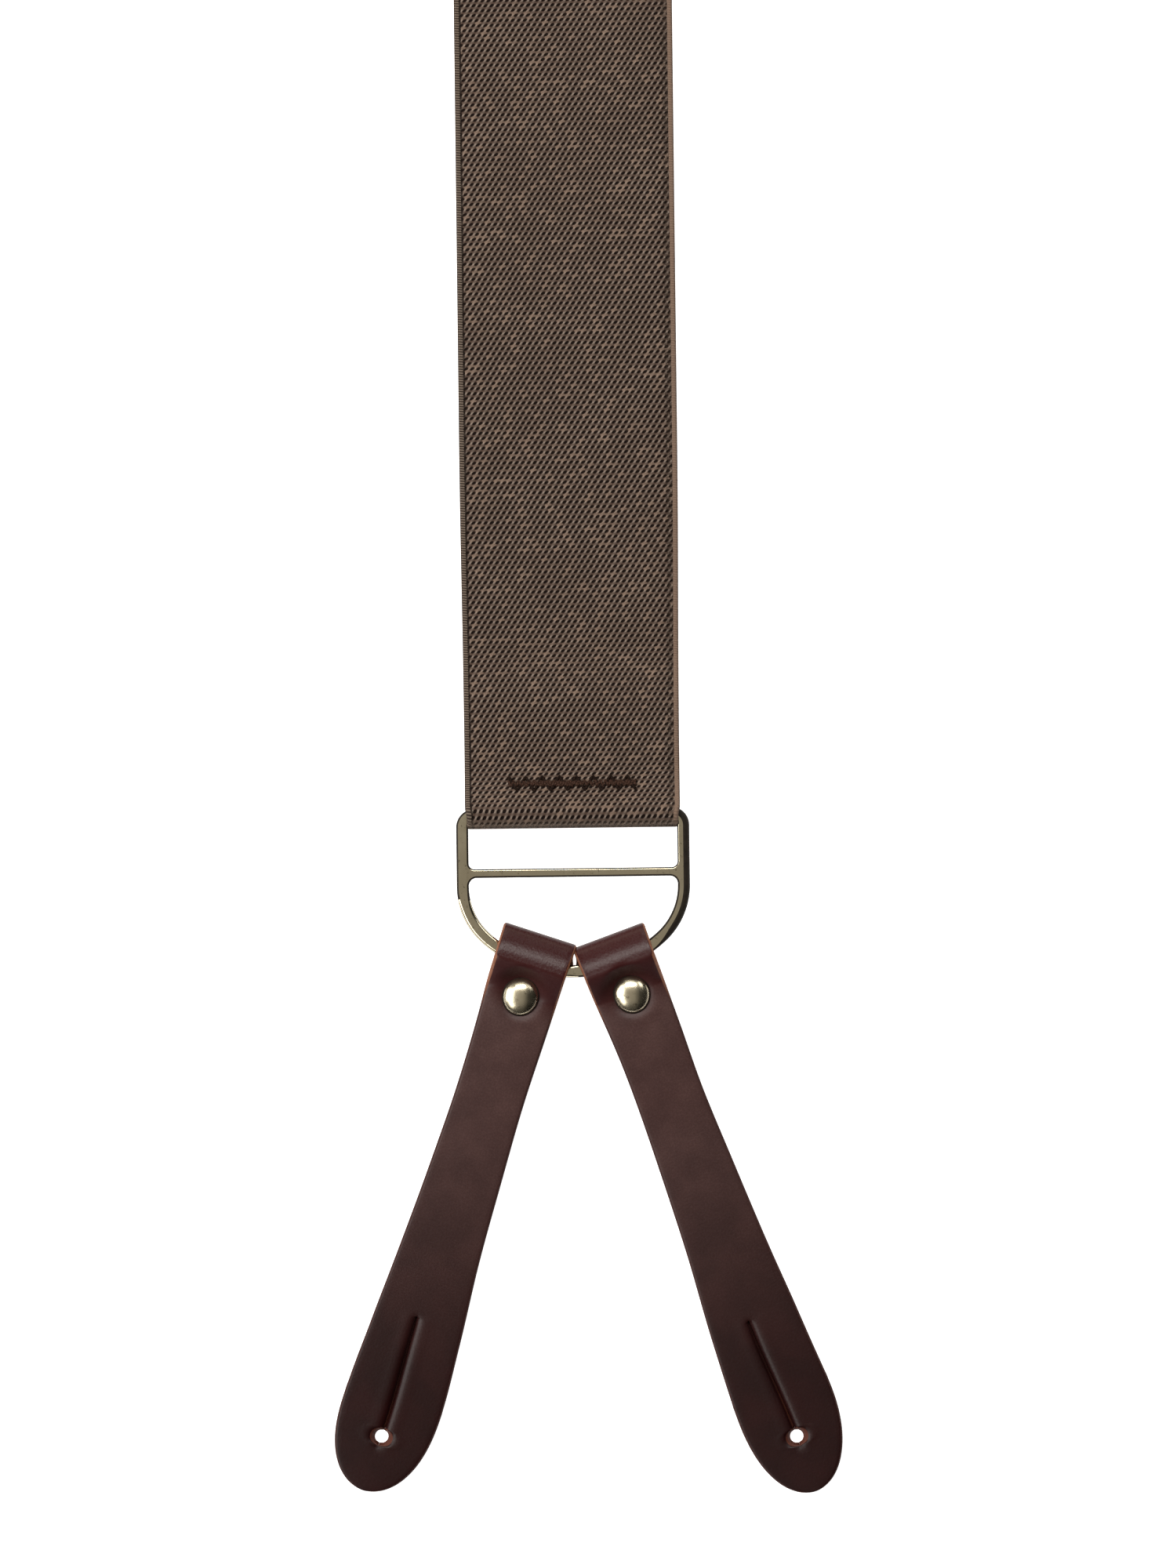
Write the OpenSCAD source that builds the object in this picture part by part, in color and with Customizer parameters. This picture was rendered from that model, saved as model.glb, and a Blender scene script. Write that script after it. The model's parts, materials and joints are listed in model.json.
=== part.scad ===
// X-back button suspenders laid flat, face up: two shoulder straps and one folded back strap
// meet at a bowed wire ring, and each of the four ends carries a D-ring with two leather
// button tabs. +Y runs from the back ends to the front ends, +Z is up, millimetres.

/* [Webbing] */
// Width of the elastic webbing
strap_w = 36; // [34:0.5:37]
// Thickness of the elastic webbing
web_t = 1.4; // [1.2:0.1:1.5]
// Length of a back leg, from the centre ring's wire to the D-ring's bar
rear_len = 356; // [300:2:420]
// Length of a shoulder strap, from the centre ring's wire to the D-ring's bar
front_len = 700; // [600:5:800]
// Angle of a back leg from the centre line
rear_angle = 17; // [15:0.5:20]
// Angle of a shoulder strap from the centre line
front_angle = 24.8; // [22:0.2:28]

/* [Centre ring] */
// Radius of the centre ring's wire
wire_r = 1.1; // [0.9:0.1:1.3]
// Distance between the centres of the two lower corners
ring_w = 39; // [38:0.5:42]
// Distance from the lower corners' centres to the top bend's centre
ring_h = 43; // [42:0.5:46]

/* [D-ring] */
// Radius of the D-ring's wire
dee_r = 1; // [0.8:0.1:1.1]
// Distance across the D-ring between the middles of its side bars
dee_w = 36.4; // [36:0.2:38]
// Distance from the strap's bar to the middle of the bow
dee_l = 26.05; // [25:0.1:27]
// Distance from the strap's bar to the middle bar
mid_bar_x = 9.8; // [8:0.1:11]

/* [Leather tabs] */
// Thickness of the leather
hide_t = 1.6; // [1.4:0.1:1.7]
// Length of a tab from the D-ring's bow to its tip
tab_len = 91.8; // [85:0.5:100]
// Width of a tab at its waist
tab_waist_w = 11.3; // [10.8:0.1:11.6]
// Width of a tab across its buttonhole
tab_head_w = 16.1; // [14:0.1:18]
// Length of the buttonhole's slit
slit_len = 20.8; // [16:0.2:24]
// Radius of the round hole at the slit's end
button_hole_r = 1.5; // [1.2:0.1:1.8]
// Radius of a rivet's domed cap
rivet_r = 3; // [2.5:0.1:3.2]

/* [Adjusters] */
// Distance from the D-ring's bar to the middle of the adjuster
adjuster_back = 46; // [40:1:60]
// Width of the locking lever's plate along the strap
lever_w = 7; // [5:0.5:8]

/* [Hidden] */
$fn = 96;
ENDS = ["rear_left", "rear_right", "front_left", "front_right"];
SIDES = ["inner", "outer"];
FRONTS = ["left", "right"];

elastic = [0.36, 0.3, 0.26];
thread = [0.16, 0.11, 0.09];
leather = [0.22, 0.12, 0.11];
metal = [0.72, 0.7, 0.65];

// Row placement: the box of the whole object is centred on Y = 0.
centre_y = -142.371;

// ---- Small geometry -------------------------------------------------------
function unit(v) = v / norm(v);
function polar(c, r, a) = c + r * [cos(a), sin(a)];
function heading(v) = atan2(v[1], v[0]);
function arc(c, r, a0, a1, n = 12) = [for (i = [0:n]) polar(c, r, a0 + (a1 - a0) * i / n)];
function ease(x) = x * x * (3 - 2 * x);
function clamp01(x) = min(1, max(0, x));
// The point at distance ra from a and rb from b, on the left of the way from a to b.
function meet(a, ra, b, rb) = let (d = norm(b - a), x = (d * d + ra * ra - rb * rb) / (2 * d),
    y = sqrt(ra * ra - x * x), u = (b - a) / d) a + x * u + y * [-u[1], u[0]];

// Wire lies in the plane z = 0. Its pieces stop short of one another by this, inside a joint.
wire_gap = 0.05;
// A straight piece of wire between two points.
module bar(a, b, r) let (u = unit(b - a) * wire_gap) translate([a[0] + u[0], a[1] + u[1], 0])
    rotate([0, 0, heading(b - a)]) rotate([0, 90, 0])
        cylinder(r = r, h = norm(b - a) - 2 * wire_gap);
// A bent piece of wire about c, between the angles a0 and a1.
module bend(c, bend_r, r, a0, a1) let (low = min(a0, a1), cut = wire_gap / bend_r * 180 / PI)
    translate([c[0], c[1], 0]) rotate([0, 0, low + cut])
        rotate_extrude(angle = abs(a1 - a0) - 2 * cut) translate([bend_r, 0])
            circle(r = r, $fn = 32);
// The joint between two pieces, a hair wider than the wire.
module joint(p, r) translate([p[0], p[1], 0]) sphere(r = r + 0.02);
// A side view in x and z, drawn across the width w.
module across(w) rotate([90, 0, 0]) translate([0, 0, -w / 2]) linear_extrude(w) children();
module above_to(h) linear_extrude(h) children();

// ---- Centre ring ----------------------------------------------------------
top_bend_r = 5.6;
low_bend_r = 1.8;
side_bow_r = 110;
base_bow_r = 60;
top_c = [0, ring_h * 0.62];
low_c = [-ring_w / 2, top_c[1] - ring_h];
low_c2 = [ring_w / 2, low_c[1]];
side_c = meet(low_c, side_bow_r + low_bend_r, top_c, side_bow_r + top_bend_r);
base_c = meet(low_c2, base_bow_r + low_bend_r, low_c, base_bow_r + low_bend_r);
// Fold around the wire: room for the bowed wire to turn, and the layers' heights.
fold_in_r = 2.25;
fold_shift = -0.4;
ring_z = web_t + fold_in_r;

module centre_ring_side() {
    a_top = heading(top_c - side_c);
    a_low = heading(low_c - side_c);
    bend(side_c, side_bow_r, wire_r, a_low, a_top);
    joint(polar(side_c, side_bow_r, a_top), wire_r);
    joint(polar(side_c, side_bow_r, a_low), wire_r);
    bend(low_c, low_bend_r, wire_r, heading(side_c - low_c), heading(base_c - low_c) + 360);
    joint(polar(base_c, base_bow_r, heading(low_c - base_c)), wire_r);
}
module centre_ring() color(metal) translate([0, 0, ring_z]) {
    a_out = heading(side_c - top_c);
    a_end = heading(low_c - base_c);
    bend(top_c, top_bend_r, wire_r, 180 - a_out, a_out);
    bend(base_c, base_bow_r, wire_r, 180 - a_end, a_end);
    centre_ring_side();
    mirror([1, 0, 0]) centre_ring_side();
}

// ---- Folds around the centre ring's bowed wires ---------------------------
// p runs from the wire towards the ring's middle, z from the floor.
meet_p = -10.5;
flap_p = -13.5;
fold_c = [fold_shift, ring_z];
fold_out_r = fold_in_r + web_t;
// The fold's side view, closed by its tail's points, and the eye for the wire.
module fold_side(tail_points) difference() {
    polygon(concat(arc(fold_c, fold_out_r, -90, 90, 16), tail_points));
    polygon(concat([[meet_p, web_t]], arc(fold_c, fold_in_r, 90, -90, 16)));
}
// Sweeps a side view along a bowed wire about the centre c.
module fold_sweep(c, bow_r, mid, half) translate([c[0], c[1], 0])
    rotate([0, 0, mid - half]) rotate_extrude(angle = 2 * half, $fn = 192)
        translate([bow_r, 0]) children();
// The wire's corners stay bare, so that neighbouring folds never meet.
corner_gap = 6.2;
module bare_corners() {
    for (c = [low_c, low_c2]) translate([c[0], c[1], -1]) cylinder(r = corner_gap, h = 20);
    translate([top_c[0], top_c[1] + 1.5, -1]) cylinder(r = corner_gap + 2.4, h = 20);
}
// Everything near the ring that a fold already covers: beyond the radius r about the centre c.
// The webbing's folded ends are solids of their own, which meet its flat run face to face.
module fold_zone(c, r, toward, half) translate([c[0], c[1], -1]) difference() {
    linear_extrude(20) polygon([[0, 0], polar([0, 0], 3 * r, toward - half),
        polar([0, 0], 3 * r, toward + half)]);
    translate([0, 0, -1]) cylinder(r = r, h = 22, $fn = 192);
}

// ---- Strap outlines -------------------------------------------------------
ring_strap_w = strap_w - 1;
dee_corner_r = 2;
end_strap_w = strap_w - 1;
fold_strap_w = dee_w - 2 * dee_corner_r - 0.2;
// Seen from above, x along the strap from the centre ring to the D-ring's bar at x = len.
module strap_plan(len) polygon([for (side = [-1, 1]) each
    let (edge = [[-30, ring_strap_w], [30, ring_strap_w], [80, strap_w], [len - 130, strap_w],
        [len - 3, end_strap_w], [len - 1.8, fold_strap_w], [len + 4, fold_strap_w]])
    [for (i = [0:len(edge) - 1]) let (e = edge[side < 0 ? i : len(edge) - 1 - i])
        [e[0], side * e[1] / 2]]]);

// ---- Webbing folded around a D-ring's bar ---------------------------------
dee_fold_r = dee_r + 0.08;
dee_z = hide_t + 1.65;
function dee_outer(len, top = 90) = arc([len, dee_z], dee_fold_r + web_t, -90, top, 18);
function dee_inner(len, top = 90) = arc([len, dee_z], dee_fold_r, top, -90, 18);

// ---- Back strap: one length of webbing folded over the ring's base --------
base_mid = base_c + [0, base_bow_r];
crotch_x = ring_strap_w / 2 / sin(rear_angle) + 3;
rear_end_len = 30;
module on_rear_leg(side) translate([base_mid[0], base_mid[1], 0])
    rotate([0, 0, -90 + side * rear_angle]) children();
module rear_plan() translate([0, 0, -1]) above_to(20) strap_plan(rear_len);
// The flat run: the right leg comes down off the left one beyond the crotch.
module rear_leg_side(end, start_z) polygon([[-2, start_z], [crotch_x, start_z],
    [crotch_x + 16, 0], [end, 0], [end, web_t], [crotch_x + 16, web_t],
    [crotch_x, start_z + web_t], [-2, start_z + web_t]]);
module rear_strap(side) color(elastic) difference() {
    on_rear_leg(side) intersection() {
        across(60) rear_leg_side(rear_len - rear_end_len, side > 0 ? web_t : 0);
        rear_plan();
    }
    fold_zone(base_c, base_bow_r + flap_p, 90, 40);
    bare_corners();
}
module rear_ring_fold() color(elastic) difference() {
    intersection() {
        fold_sweep(base_c, base_bow_r, 90, 34)
            fold_side([[meet_p - 0.7, 2 * web_t], [flap_p, 2 * web_t], [flap_p, 0]]);
        union() for (side = [-1, 1]) on_rear_leg(side) rear_plan();
    }
    bare_corners();
}
// The end fold: the upper layer runs on over the bar, and its end lies behind, sewn on.
module rear_end_fold(side) color(elastic) on_rear_leg(side) intersection() {
    across(60) translate([rear_len, 0]) difference() {
        polygon(concat([[-rear_end_len, 0], [-6, 0]], dee_outer(0, 132),
            [[-3.9, 2 * web_t], [-16, 2 * web_t], [-23, web_t], [-rear_end_len, web_t]]));
        polygon(concat([[-3.7, web_t]], dee_inner(0, 132)));
    }
    rear_plan();
}

// ---- Shoulder straps ------------------------------------------------------
// The left strap is drawn, and the right one is its mirror image.
slide_z = 1;
side_toward = (heading(top_c - side_c) + heading(low_c - side_c)) / 2;
side_mid = polar(side_c, side_bow_r, side_toward);
side_half = 20;
shoulder_fold_p = flap_p - 5;
shoulder_end_len = 10;
module on_shoulder() translate([side_mid[0], side_mid[1], 0])
    rotate([0, 0, 90 + front_angle]) children();
module shoulder_plan() translate([0, 0, -1]) above_to(20) strap_plan(front_len);
// The lever and the frame straddle this flat run; the strap turns up around the D-ring's bar.
tail_z = slide_z + web_t + 0.1;
tail_end = front_len - shoulder_end_len;
module shoulder_strap() color(elastic) difference() {
    on_shoulder() intersection() {
        translate([-2, -30, slide_z]) cube([tail_end + 2, 60, web_t]);
        shoulder_plan();
    }
    fold_zone(side_c, side_bow_r + shoulder_fold_p, side_toward, side_half);
    bare_corners();
}
module shoulder_ring_fold() color(elastic) difference() {
    intersection() {
        fold_sweep(side_c, side_bow_r, side_toward, side_half) fold_side(
            [[meet_p - 0.7, 2 * web_t], [flap_p, 2 * web_t], [shoulder_fold_p, slide_z + web_t],
                [shoulder_fold_p, slide_z], [flap_p, 0]]);
        on_shoulder() shoulder_plan();
    }
    bare_corners();
}
// The strap turns up and back over the D-ring's bar, towards the adjuster.
module shoulder_end_fold() color(elastic) on_shoulder() intersection() {
    across(60) translate([front_len, 0]) difference() {
        polygon(concat([[-shoulder_end_len, slide_z], [-5, slide_z]], dee_outer(0),
            [[0.2 - shoulder_end_len, tail_z + web_t], [0.2 - shoulder_end_len, tail_z],
                [-shoulder_end_len, slide_z + web_t]]));
        polygon(concat([[-5, slide_z + web_t], [-11, slide_z + web_t], [-11, tail_z],
            [-5, tail_z + 0.3]], dee_inner(0)));
    }
    shoulder_plan();
}

// ---- Adjuster: a frame around the strap, with a toothed locking lever -----
adjuster_x = front_len - adjuster_back;
tail_bar_r = 0.8;
tail_bar_x = 5;
tail_fold_r = tail_bar_r + 0.12;
tail_bar_z = tail_z + web_t + tail_fold_r;
rail_in = strap_w / 2 + 0.35;
rail_t = 1.4;
rail_top = tail_bar_z + 1.5;
pivot_x = -1;
pivot_z = slide_z + web_t + 1.6;
pivot_r = 0.7;
module adjuster_frame() color(metal) difference() {
    union() {
        for (side = [-1, 1]) translate([0, side * (rail_in + rail_t / 2), 0])
            across(rail_t) polygon([[-6, 0.1], [7, 0.1], [7.5, 2], [6.4, rail_top],
                [-2.5, rail_top], [-6.5, 2.2]]);
        translate([-5, -rail_in - 0.1, 0.1]) cube([4, 2 * rail_in + 0.2, 0.8]);
        translate([3, -rail_in - 0.1, 0.1]) cube([4, 2 * rail_in + 0.2, 0.8]);
        translate([tail_bar_x, 0, tail_bar_z]) rotate([90, 0, 0])
            cylinder(r = tail_bar_r, h = 2 * rail_in + 0.4, center = true);
    }
    translate([pivot_x, 0, pivot_z]) rotate([90, 0, 0])
        cylinder(r = pivot_r + 0.06, h = 60, center = true);
}
module adjuster_lever() color(metal) {
    translate([pivot_x, 0, pivot_z]) rotate([90, 0, 0])
        cylinder(r = pivot_r, h = 2 * (rail_in + rail_t), center = true);
    lever_half = rail_in - 0.25;
    translate([pivot_x - lever_w, -lever_half, pivot_z - 0.35])
        cube([lever_w, 2 * lever_half, 0.9]);
    for (y = [-lever_half + 1:2:lever_half - 1]) translate([pivot_x, y, pivot_z])
        across(1) polygon([[-0.9, -0.3], [0, -1.5], [0.5, -0.3], [0, 0]]);
}
// The strap's own end, led back over the strap from the D-ring and sewn round the frame's bar.
module tail_side() difference() {
    top = tail_z + web_t;
    len = tail_end - adjuster_x;
    b = tail_bar_x;
    polygon(concat([for (a = [270:-12:90]) polar([b, tail_bar_z], tail_fold_r + web_t, a)],
        [[b + 5, top + web_t], [b + 12, top + web_t], [b + 16, top], [len, top], [len, tail_z],
        [b + 1, tail_z]]));
    polygon(concat([for (a = [270:-12:90]) polar([b, tail_bar_z], tail_fold_r, a)],
        [[b + 4.4, top + 0.02]]));
}
tail_w = 2 * rail_in - 1;
module strap_tail() color(elastic) across(tail_w) tail_side();
module on_adjuster() on_shoulder() translate([adjuster_x, 0, 0]) children();

// ---- Stitching ------------------------------------------------------------
thread_r = 0.25;
// A zigzag row of w by h that lies on the surface at height z.
module zigzag(w, h, z, n = 14) color(thread) translate([0, 0, z]) linear_extrude(2 * thread_r)
    polygon([for (side = [-1, 1]) for (i = [0:n]) let (k = side < 0 ? i : n - i)
        [(k % 2 - 0.5) * h + side * thread_r * 1.3, -w / 2 + k * w / n]]);
module rear_end_stitching(side) on_rear_leg(side) translate([rear_len - 4.9, 0, 0])
    zigzag(21, 1.5, 2 * web_t);
module rear_centre_stitching() translate([base_mid[0], base_mid[1] - 15, 0])
    rotate([0, 0, 90]) zigzag(24, 1.5, 2 * web_t);
module shoulder_stitching() color(thread) translate([0, 0, 2 * web_t])
    linear_extrude(2 * thread_r) polygon([for (side = [-1, 1]) for (i = [0:14])
        let (k = side < 0 ? i : 14 - i) polar(side_c, side_bow_r - 12.4 + (k % 2 - 0.5) * 1.2
            + side * thread_r * 1.3, side_toward + 1.6 + (k - 7) * 0.85)]);
module tail_stitching() on_adjuster() translate([tail_bar_x + 8, 0, 0])
    zigzag(24, 1.5, tail_z + 2 * web_t);

// ---- D-ring ---------------------------------------------------------------
bow_r = 21.5;
shoulder_r = 11.5;
bow_c = [dee_l - bow_r, 0];
turn_y = dee_w / 2 - shoulder_r;
turn_c = [bow_c[0] + sqrt(pow(bow_r - shoulder_r, 2) - turn_y * turn_y), turn_y];
turn_a = heading(turn_c - bow_c);
dee_corner = [dee_corner_r, dee_w / 2 - dee_corner_r];
function shorter(pts) = [for (i = [0:len(pts) - 2]) pts[i]];
function mirrored(pts) = [for (i = [len(pts) - 1:-1:0]) [pts[i][0], -pts[i][1]]];
function reversed(pts) = [for (i = [len(pts) - 1:-1:0]) pts[i]];
// One edge of the ring's band at a distance d outside its middle line, between the bar's ends.
function dee_edge(d) = let (side = concat(arc(dee_corner, dee_corner_r + d, 180, 90, 6),
    shorter(arc(turn_c, shoulder_r + d, 90, turn_a, 8))))
    concat(side, arc(bow_c, bow_r + d, turn_a, -turn_a, 18), mirrored(side));
module dee_band(d, h) linear_extrude(2 * h, center = true)
    polygon(concat(dee_edge(d), reversed(dee_edge(-d))));
module d_ring() color(metal) translate([0, 0, dee_z]) {
    dee_band(0.94 * dee_r, 0.5 * dee_r);
    dee_band(0.6 * dee_r, 0.94 * dee_r);
    bar([0, -dee_corner[1] - 0.5], [0, dee_corner[1] + 0.5], dee_r);
    bar([mid_bar_x, -dee_w / 2], [mid_bar_x, dee_w / 2], 0.7 * dee_r);
}

// ---- Button tab -----------------------------------------------------------
// s runs from the bow to the tip. The leather loops over the bow and is riveted behind it.
loop_in = 1.65;
loop_shift = -1.25;
rivet_s = 5.8;
flap_s = 15;
hole_s = tab_len - 9.6;
head_s = tab_len - 16.4;
loop_w = 10.7;
neck_w = 11.9;
function tab_half(s) = s < rivet_s
    ? loop_w / 2 + (neck_w - loop_w) / 2 * clamp01((s + 4) / (rivet_s + 4))
    : s < 20 ? neck_w / 2 + (tab_waist_w - neck_w) / 2 * ease((s - rivet_s) / 13)
    : s < head_s ? tab_waist_w / 2
        + (tab_head_w - tab_waist_w) / 2 * ease(pow((s - 20) / (head_s - 20), 1.15))
    : tab_head_w / 2 * pow(max(0, 1 - pow((s - head_s) / (tab_len - head_s), 2.35)), 0.5);
tab_stations = concat([-5.2, rivet_s, 10, 13, 16.5], [for (s = [20:6:head_s - 3]) s],
    [for (i = [0:14]) head_s + (tab_len - head_s) * sin(90 * i / 14)]);
module tab_plan() polygon(concat([for (s = tab_stations) [s, tab_half(s)]],
    [for (i = [len(tab_stations) - 2:-1:0]) [tab_stations[i], -tab_half(tab_stations[i])]]));
module tab_side() difference() {
    polygon(concat([for (a = [270:-12:90]) polar([loop_shift, dee_z], loop_in + hide_t, a)],
        [[0.4, dee_z + loop_in + hide_t - 0.1], [3.4, 2 * hide_t], [flap_s, 2 * hide_t],
        [flap_s + 8, hide_t], [tab_len + 1, hide_t], [tab_len + 1, 0]]));
    polygon(concat([for (a = [270:-12:90]) polar([loop_shift, dee_z], loop_in, a)],
        [[0.3, dee_z + loop_in - 0.1], [3.2, hide_t + 0.02], [3.2, hide_t]]));
    polygon([[flap_s, -1], [flap_s, hide_t], [flap_s + 7.6, 0], [flap_s + 7.6, -1]]);
}
module button_tab() color(leather) difference() {
    intersection() {
        across(30) tab_side();
        translate([0, 0, -1]) above_to(20) tab_plan();
    }
    translate([hole_s, 0, -1]) cylinder(r = button_hole_r, h = 10);
    translate([hole_s - slit_len, -0.25, -1]) cube([slit_len, 0.5, 10]);
    translate([rivet_s, 0, -1]) cylinder(r = rivet_post_r + 0.05, h = 10);
    translate([rivet_s, 0, -1]) cylinder(r = rivet_r + 0.05, h = 1 + rivet_back_t);
}

// ---- Rivets: a domed cap with its post, and a flat back let into the leather
rivet_post_r = 1;
rivet_back_t = 0.5;
rivet_dome_h = 1.7;
module rivet_cap() color(metal) translate([rivet_s, 0, 0]) {
    ball_r = (rivet_r * rivet_r + rivet_dome_h * rivet_dome_h) / (2 * rivet_dome_h);
    intersection() {
        translate([0, 0, 2 * hide_t + rivet_dome_h - ball_r]) sphere(r = ball_r);
        translate([0, 0, 2 * hide_t]) cylinder(r = rivet_r + 1, h = 5);
    }
    translate([0, 0, rivet_back_t]) cylinder(r = rivet_post_r, h = 2 * hide_t - rivet_back_t + 0.3);
}
module rivet_back() color(metal) translate([rivet_s, 0, 0])
    cylinder(r = rivet_r, h = rivet_back_t);

// ---- Placement ------------------------------------------------------------
// Swing of the inner and outer tabs away from the strap's own line.
function splay(e, s) = e == "rear_right" ? (s == "outer" ? 19.9 : -18.6)
    : (s == "outer" ? 20.5 : -20.5);
// Each end is drawn on the right of the rear or the left of the front, then mirrored.
module at_end(e) {
    if (e == "rear_right") on_rear_leg(1) translate([rear_len, 0, 0]) children();
    if (e == "rear_left") mirror([1, 0, 0]) on_rear_leg(1) translate([rear_len, 0, 0]) children();
    if (e == "front_left") on_shoulder() translate([front_len, 0, 0]) children();
    if (e == "front_right") mirror([1, 0, 0]) on_shoulder() translate([front_len, 0, 0]) children();
}
module at_tab(e, s) at_end(e) translate([bow_c[0], 0, 0]) rotate([0, 0, splay(e, s)])
    translate([bow_r, 0, 0]) children();
module for_front(f) {
    if (f == "left") children();
    else mirror([1, 0, 0]) children();
}

translate([0, centre_y, 0]) {
    centre_ring();
    rear_strap(-1);  // rear_strap_left
    rear_strap(1);  // rear_strap_right
    rear_ring_fold();
    rear_centre_stitching();  // rear_stitching_centre
    rear_end_stitching(-1);  // end_stitching_rear_left
    rear_end_stitching(1);  // end_stitching_rear_right
    rear_end_fold(-1);  // end_fold_rear_left
    rear_end_fold(1);  // end_fold_rear_right
    for (f = FRONTS) for_front(f) {
        shoulder_strap();
        shoulder_ring_fold();
        shoulder_end_fold();
        shoulder_stitching();
        on_adjuster() strap_tail();
        tail_stitching();
        on_adjuster() adjuster_frame();
        on_adjuster() adjuster_lever();
    }
    for (e = ENDS) {
        at_end(e) d_ring();
        for (s = SIDES) {
            at_tab(e, s) button_tab();
            at_tab(e, s) rivet_cap();
            at_tab(e, s) rivet_back();
        }
    }
}
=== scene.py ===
"""X-back button suspenders: webbing, leather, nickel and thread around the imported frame.

Shapes are worked out in millimetres and turned into metres when a mesh is made. Each end of the
straps has its own frame: x runs along the strap from the D-ring's bar towards the button tabs,
y lies along the bar, and z is the height above the floor.
"""

import contextlib
import json
import math

import bmesh
import bpy
import numpy as np
from mathutils import Matrix, Vector
from mathutils.geometry import tessellate_polygon


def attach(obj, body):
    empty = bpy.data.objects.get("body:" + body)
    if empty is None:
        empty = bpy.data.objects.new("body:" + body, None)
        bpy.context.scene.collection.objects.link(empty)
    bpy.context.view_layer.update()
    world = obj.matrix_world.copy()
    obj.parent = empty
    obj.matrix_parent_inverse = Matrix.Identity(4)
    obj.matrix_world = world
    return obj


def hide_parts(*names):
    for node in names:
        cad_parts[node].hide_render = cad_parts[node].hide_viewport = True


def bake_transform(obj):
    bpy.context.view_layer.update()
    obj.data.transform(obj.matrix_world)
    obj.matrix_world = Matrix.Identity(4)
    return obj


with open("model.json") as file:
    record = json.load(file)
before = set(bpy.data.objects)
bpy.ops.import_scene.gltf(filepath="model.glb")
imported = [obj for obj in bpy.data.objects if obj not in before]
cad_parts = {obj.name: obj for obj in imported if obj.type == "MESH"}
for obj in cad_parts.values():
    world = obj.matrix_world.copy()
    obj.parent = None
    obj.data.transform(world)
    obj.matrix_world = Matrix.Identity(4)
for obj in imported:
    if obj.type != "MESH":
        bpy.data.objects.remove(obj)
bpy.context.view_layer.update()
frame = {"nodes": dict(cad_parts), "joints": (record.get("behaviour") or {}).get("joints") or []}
joints = {j["name"]: j for j in frame["joints"]}

MM = 0.001
ENDS = ("rear_left", "rear_right", "front_left", "front_right")
SIDES = ("inner", "outer")

# ---- Sizes shared with the frame, in millimetres --------------------------
STRAP_W = 36.0
RING_STRAP_W = 35.0
WEB_T = 1.4
WEB_EDGE_R = 0.45
REAR_LEN = 356.0
FRONT_LEN = 700.0
REAR_ANGLE = 17.0
FRONT_ANGLE = 24.8
WIRE_R = 1.1
RING_W = 39.0
RING_H = 43.0
RING_TOP_SHARE = 0.62
TOP_BEND_R = 5.6
LOW_BEND_R = 1.8
SIDE_BOW_R = 110.0
BASE_BOW_R = 60.0
RING_Z = 3.65
DEE_W = 36.4
DEE_L = 26.05
DEE_Z = 3.25
BOW_R = 21.5
SHOULDER_R = 11.5
MID_BAR_X = 9.8
RUN_Z = 1.0
ADJUSTER_BACK = 46.0
TAIL_BAR_X = 5.0
TAIL_BAR_R = 0.8
TAIL_Z = 2.5
TAIL_W = 35.7
HIDE_T = 1.5
RIVET_S = 5.7
TAB_LEN = 91.8
HOLE_S = 82.2
SLIT_LEN = 20.8
HOLE_R = 1.4
LOW_HOLE_R = 1.1


# ---- Frames ---------------------------------------------------------------
class Place:
    """A local frame on the floor: x and y axes and an origin, in millimetres."""

    def __init__(self, origin, x, y):
        self.o = np.array([origin[0], origin[1], 0.0])
        self.x = np.array([x[0], x[1], 0.0])
        self.y = np.array([y[0], y[1], 0.0])

    def __call__(self, x, y, z):
        x, y, z = np.broadcast_arrays(x, y, z)
        flat = self.o + x[..., None] * self.x + y[..., None] * self.y
        flat[..., 2] = z
        return flat


def joint_place(name, shift=0.0):
    """The frame of a hinge whose axis is its y: x lies ahead of it, shifted back by shift."""
    j = joints[name]
    y = np.array(j["axis"])
    x = np.array([y[1], -y[0], 0.0])
    return Place(np.array(j["pos_m"]) / MM - shift * x, x, y)


end_place = {e: joint_place(f"d_ring_{e}_hinge") for e in ENDS}
tab_place = {(e, s): joint_place(f"tab_{e}_{s}_swing", -0.33) for e in ENDS for s in SIDES}
# The tab that lies on the +y side of each end.
plus_side = {"rear_left": "inner", "rear_right": "outer", "front_left": "outer",
             "front_right": "inner"}


def ease(t):
    t = np.clip(t, 0.0, 1.0)
    return t * t * (3.0 - 2.0 * t)


def bump_at(x, middle, width):
    return np.exp(-((x - middle) / width) ** 2)


def arc(c, r, a0, a1, n):
    """Points on an arc about c, angles in degrees."""
    a = np.radians(np.linspace(a0, a1, n + 1))
    return np.stack([c[0] + r * np.cos(a), c[1] + r * np.sin(a)], 1)


def meet(a, ra, b, rb):
    """The point at distance ra from a and rb from b, on the left of the way from a to b."""
    a, b = np.array(a), np.array(b)
    d = np.linalg.norm(b - a)
    x = (d * d + ra * ra - rb * rb) / (2 * d)
    u = (b - a) / d
    return a + x * u + math.sqrt(ra * ra - x * x) * np.array([-u[1], u[0]])


def heading(v):
    """The angle of a plan vector, in degrees."""
    return math.degrees(math.atan2(v[1], v[0]))


def unit(angle):
    """The plan vector at an angle in degrees."""
    return np.array([math.cos(math.radians(angle)), math.sin(math.radians(angle))])


def curve(a, knee, b, n):
    """n + 1 points on the curve that leaves a towards knee and reaches b from it."""
    t = np.linspace(0, 1, n + 1)[:, None]
    return (1 - t) ** 2 * np.array(a) + 2 * t * (1 - t) * np.array(knee) + t ** 2 * np.array(b)


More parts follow.
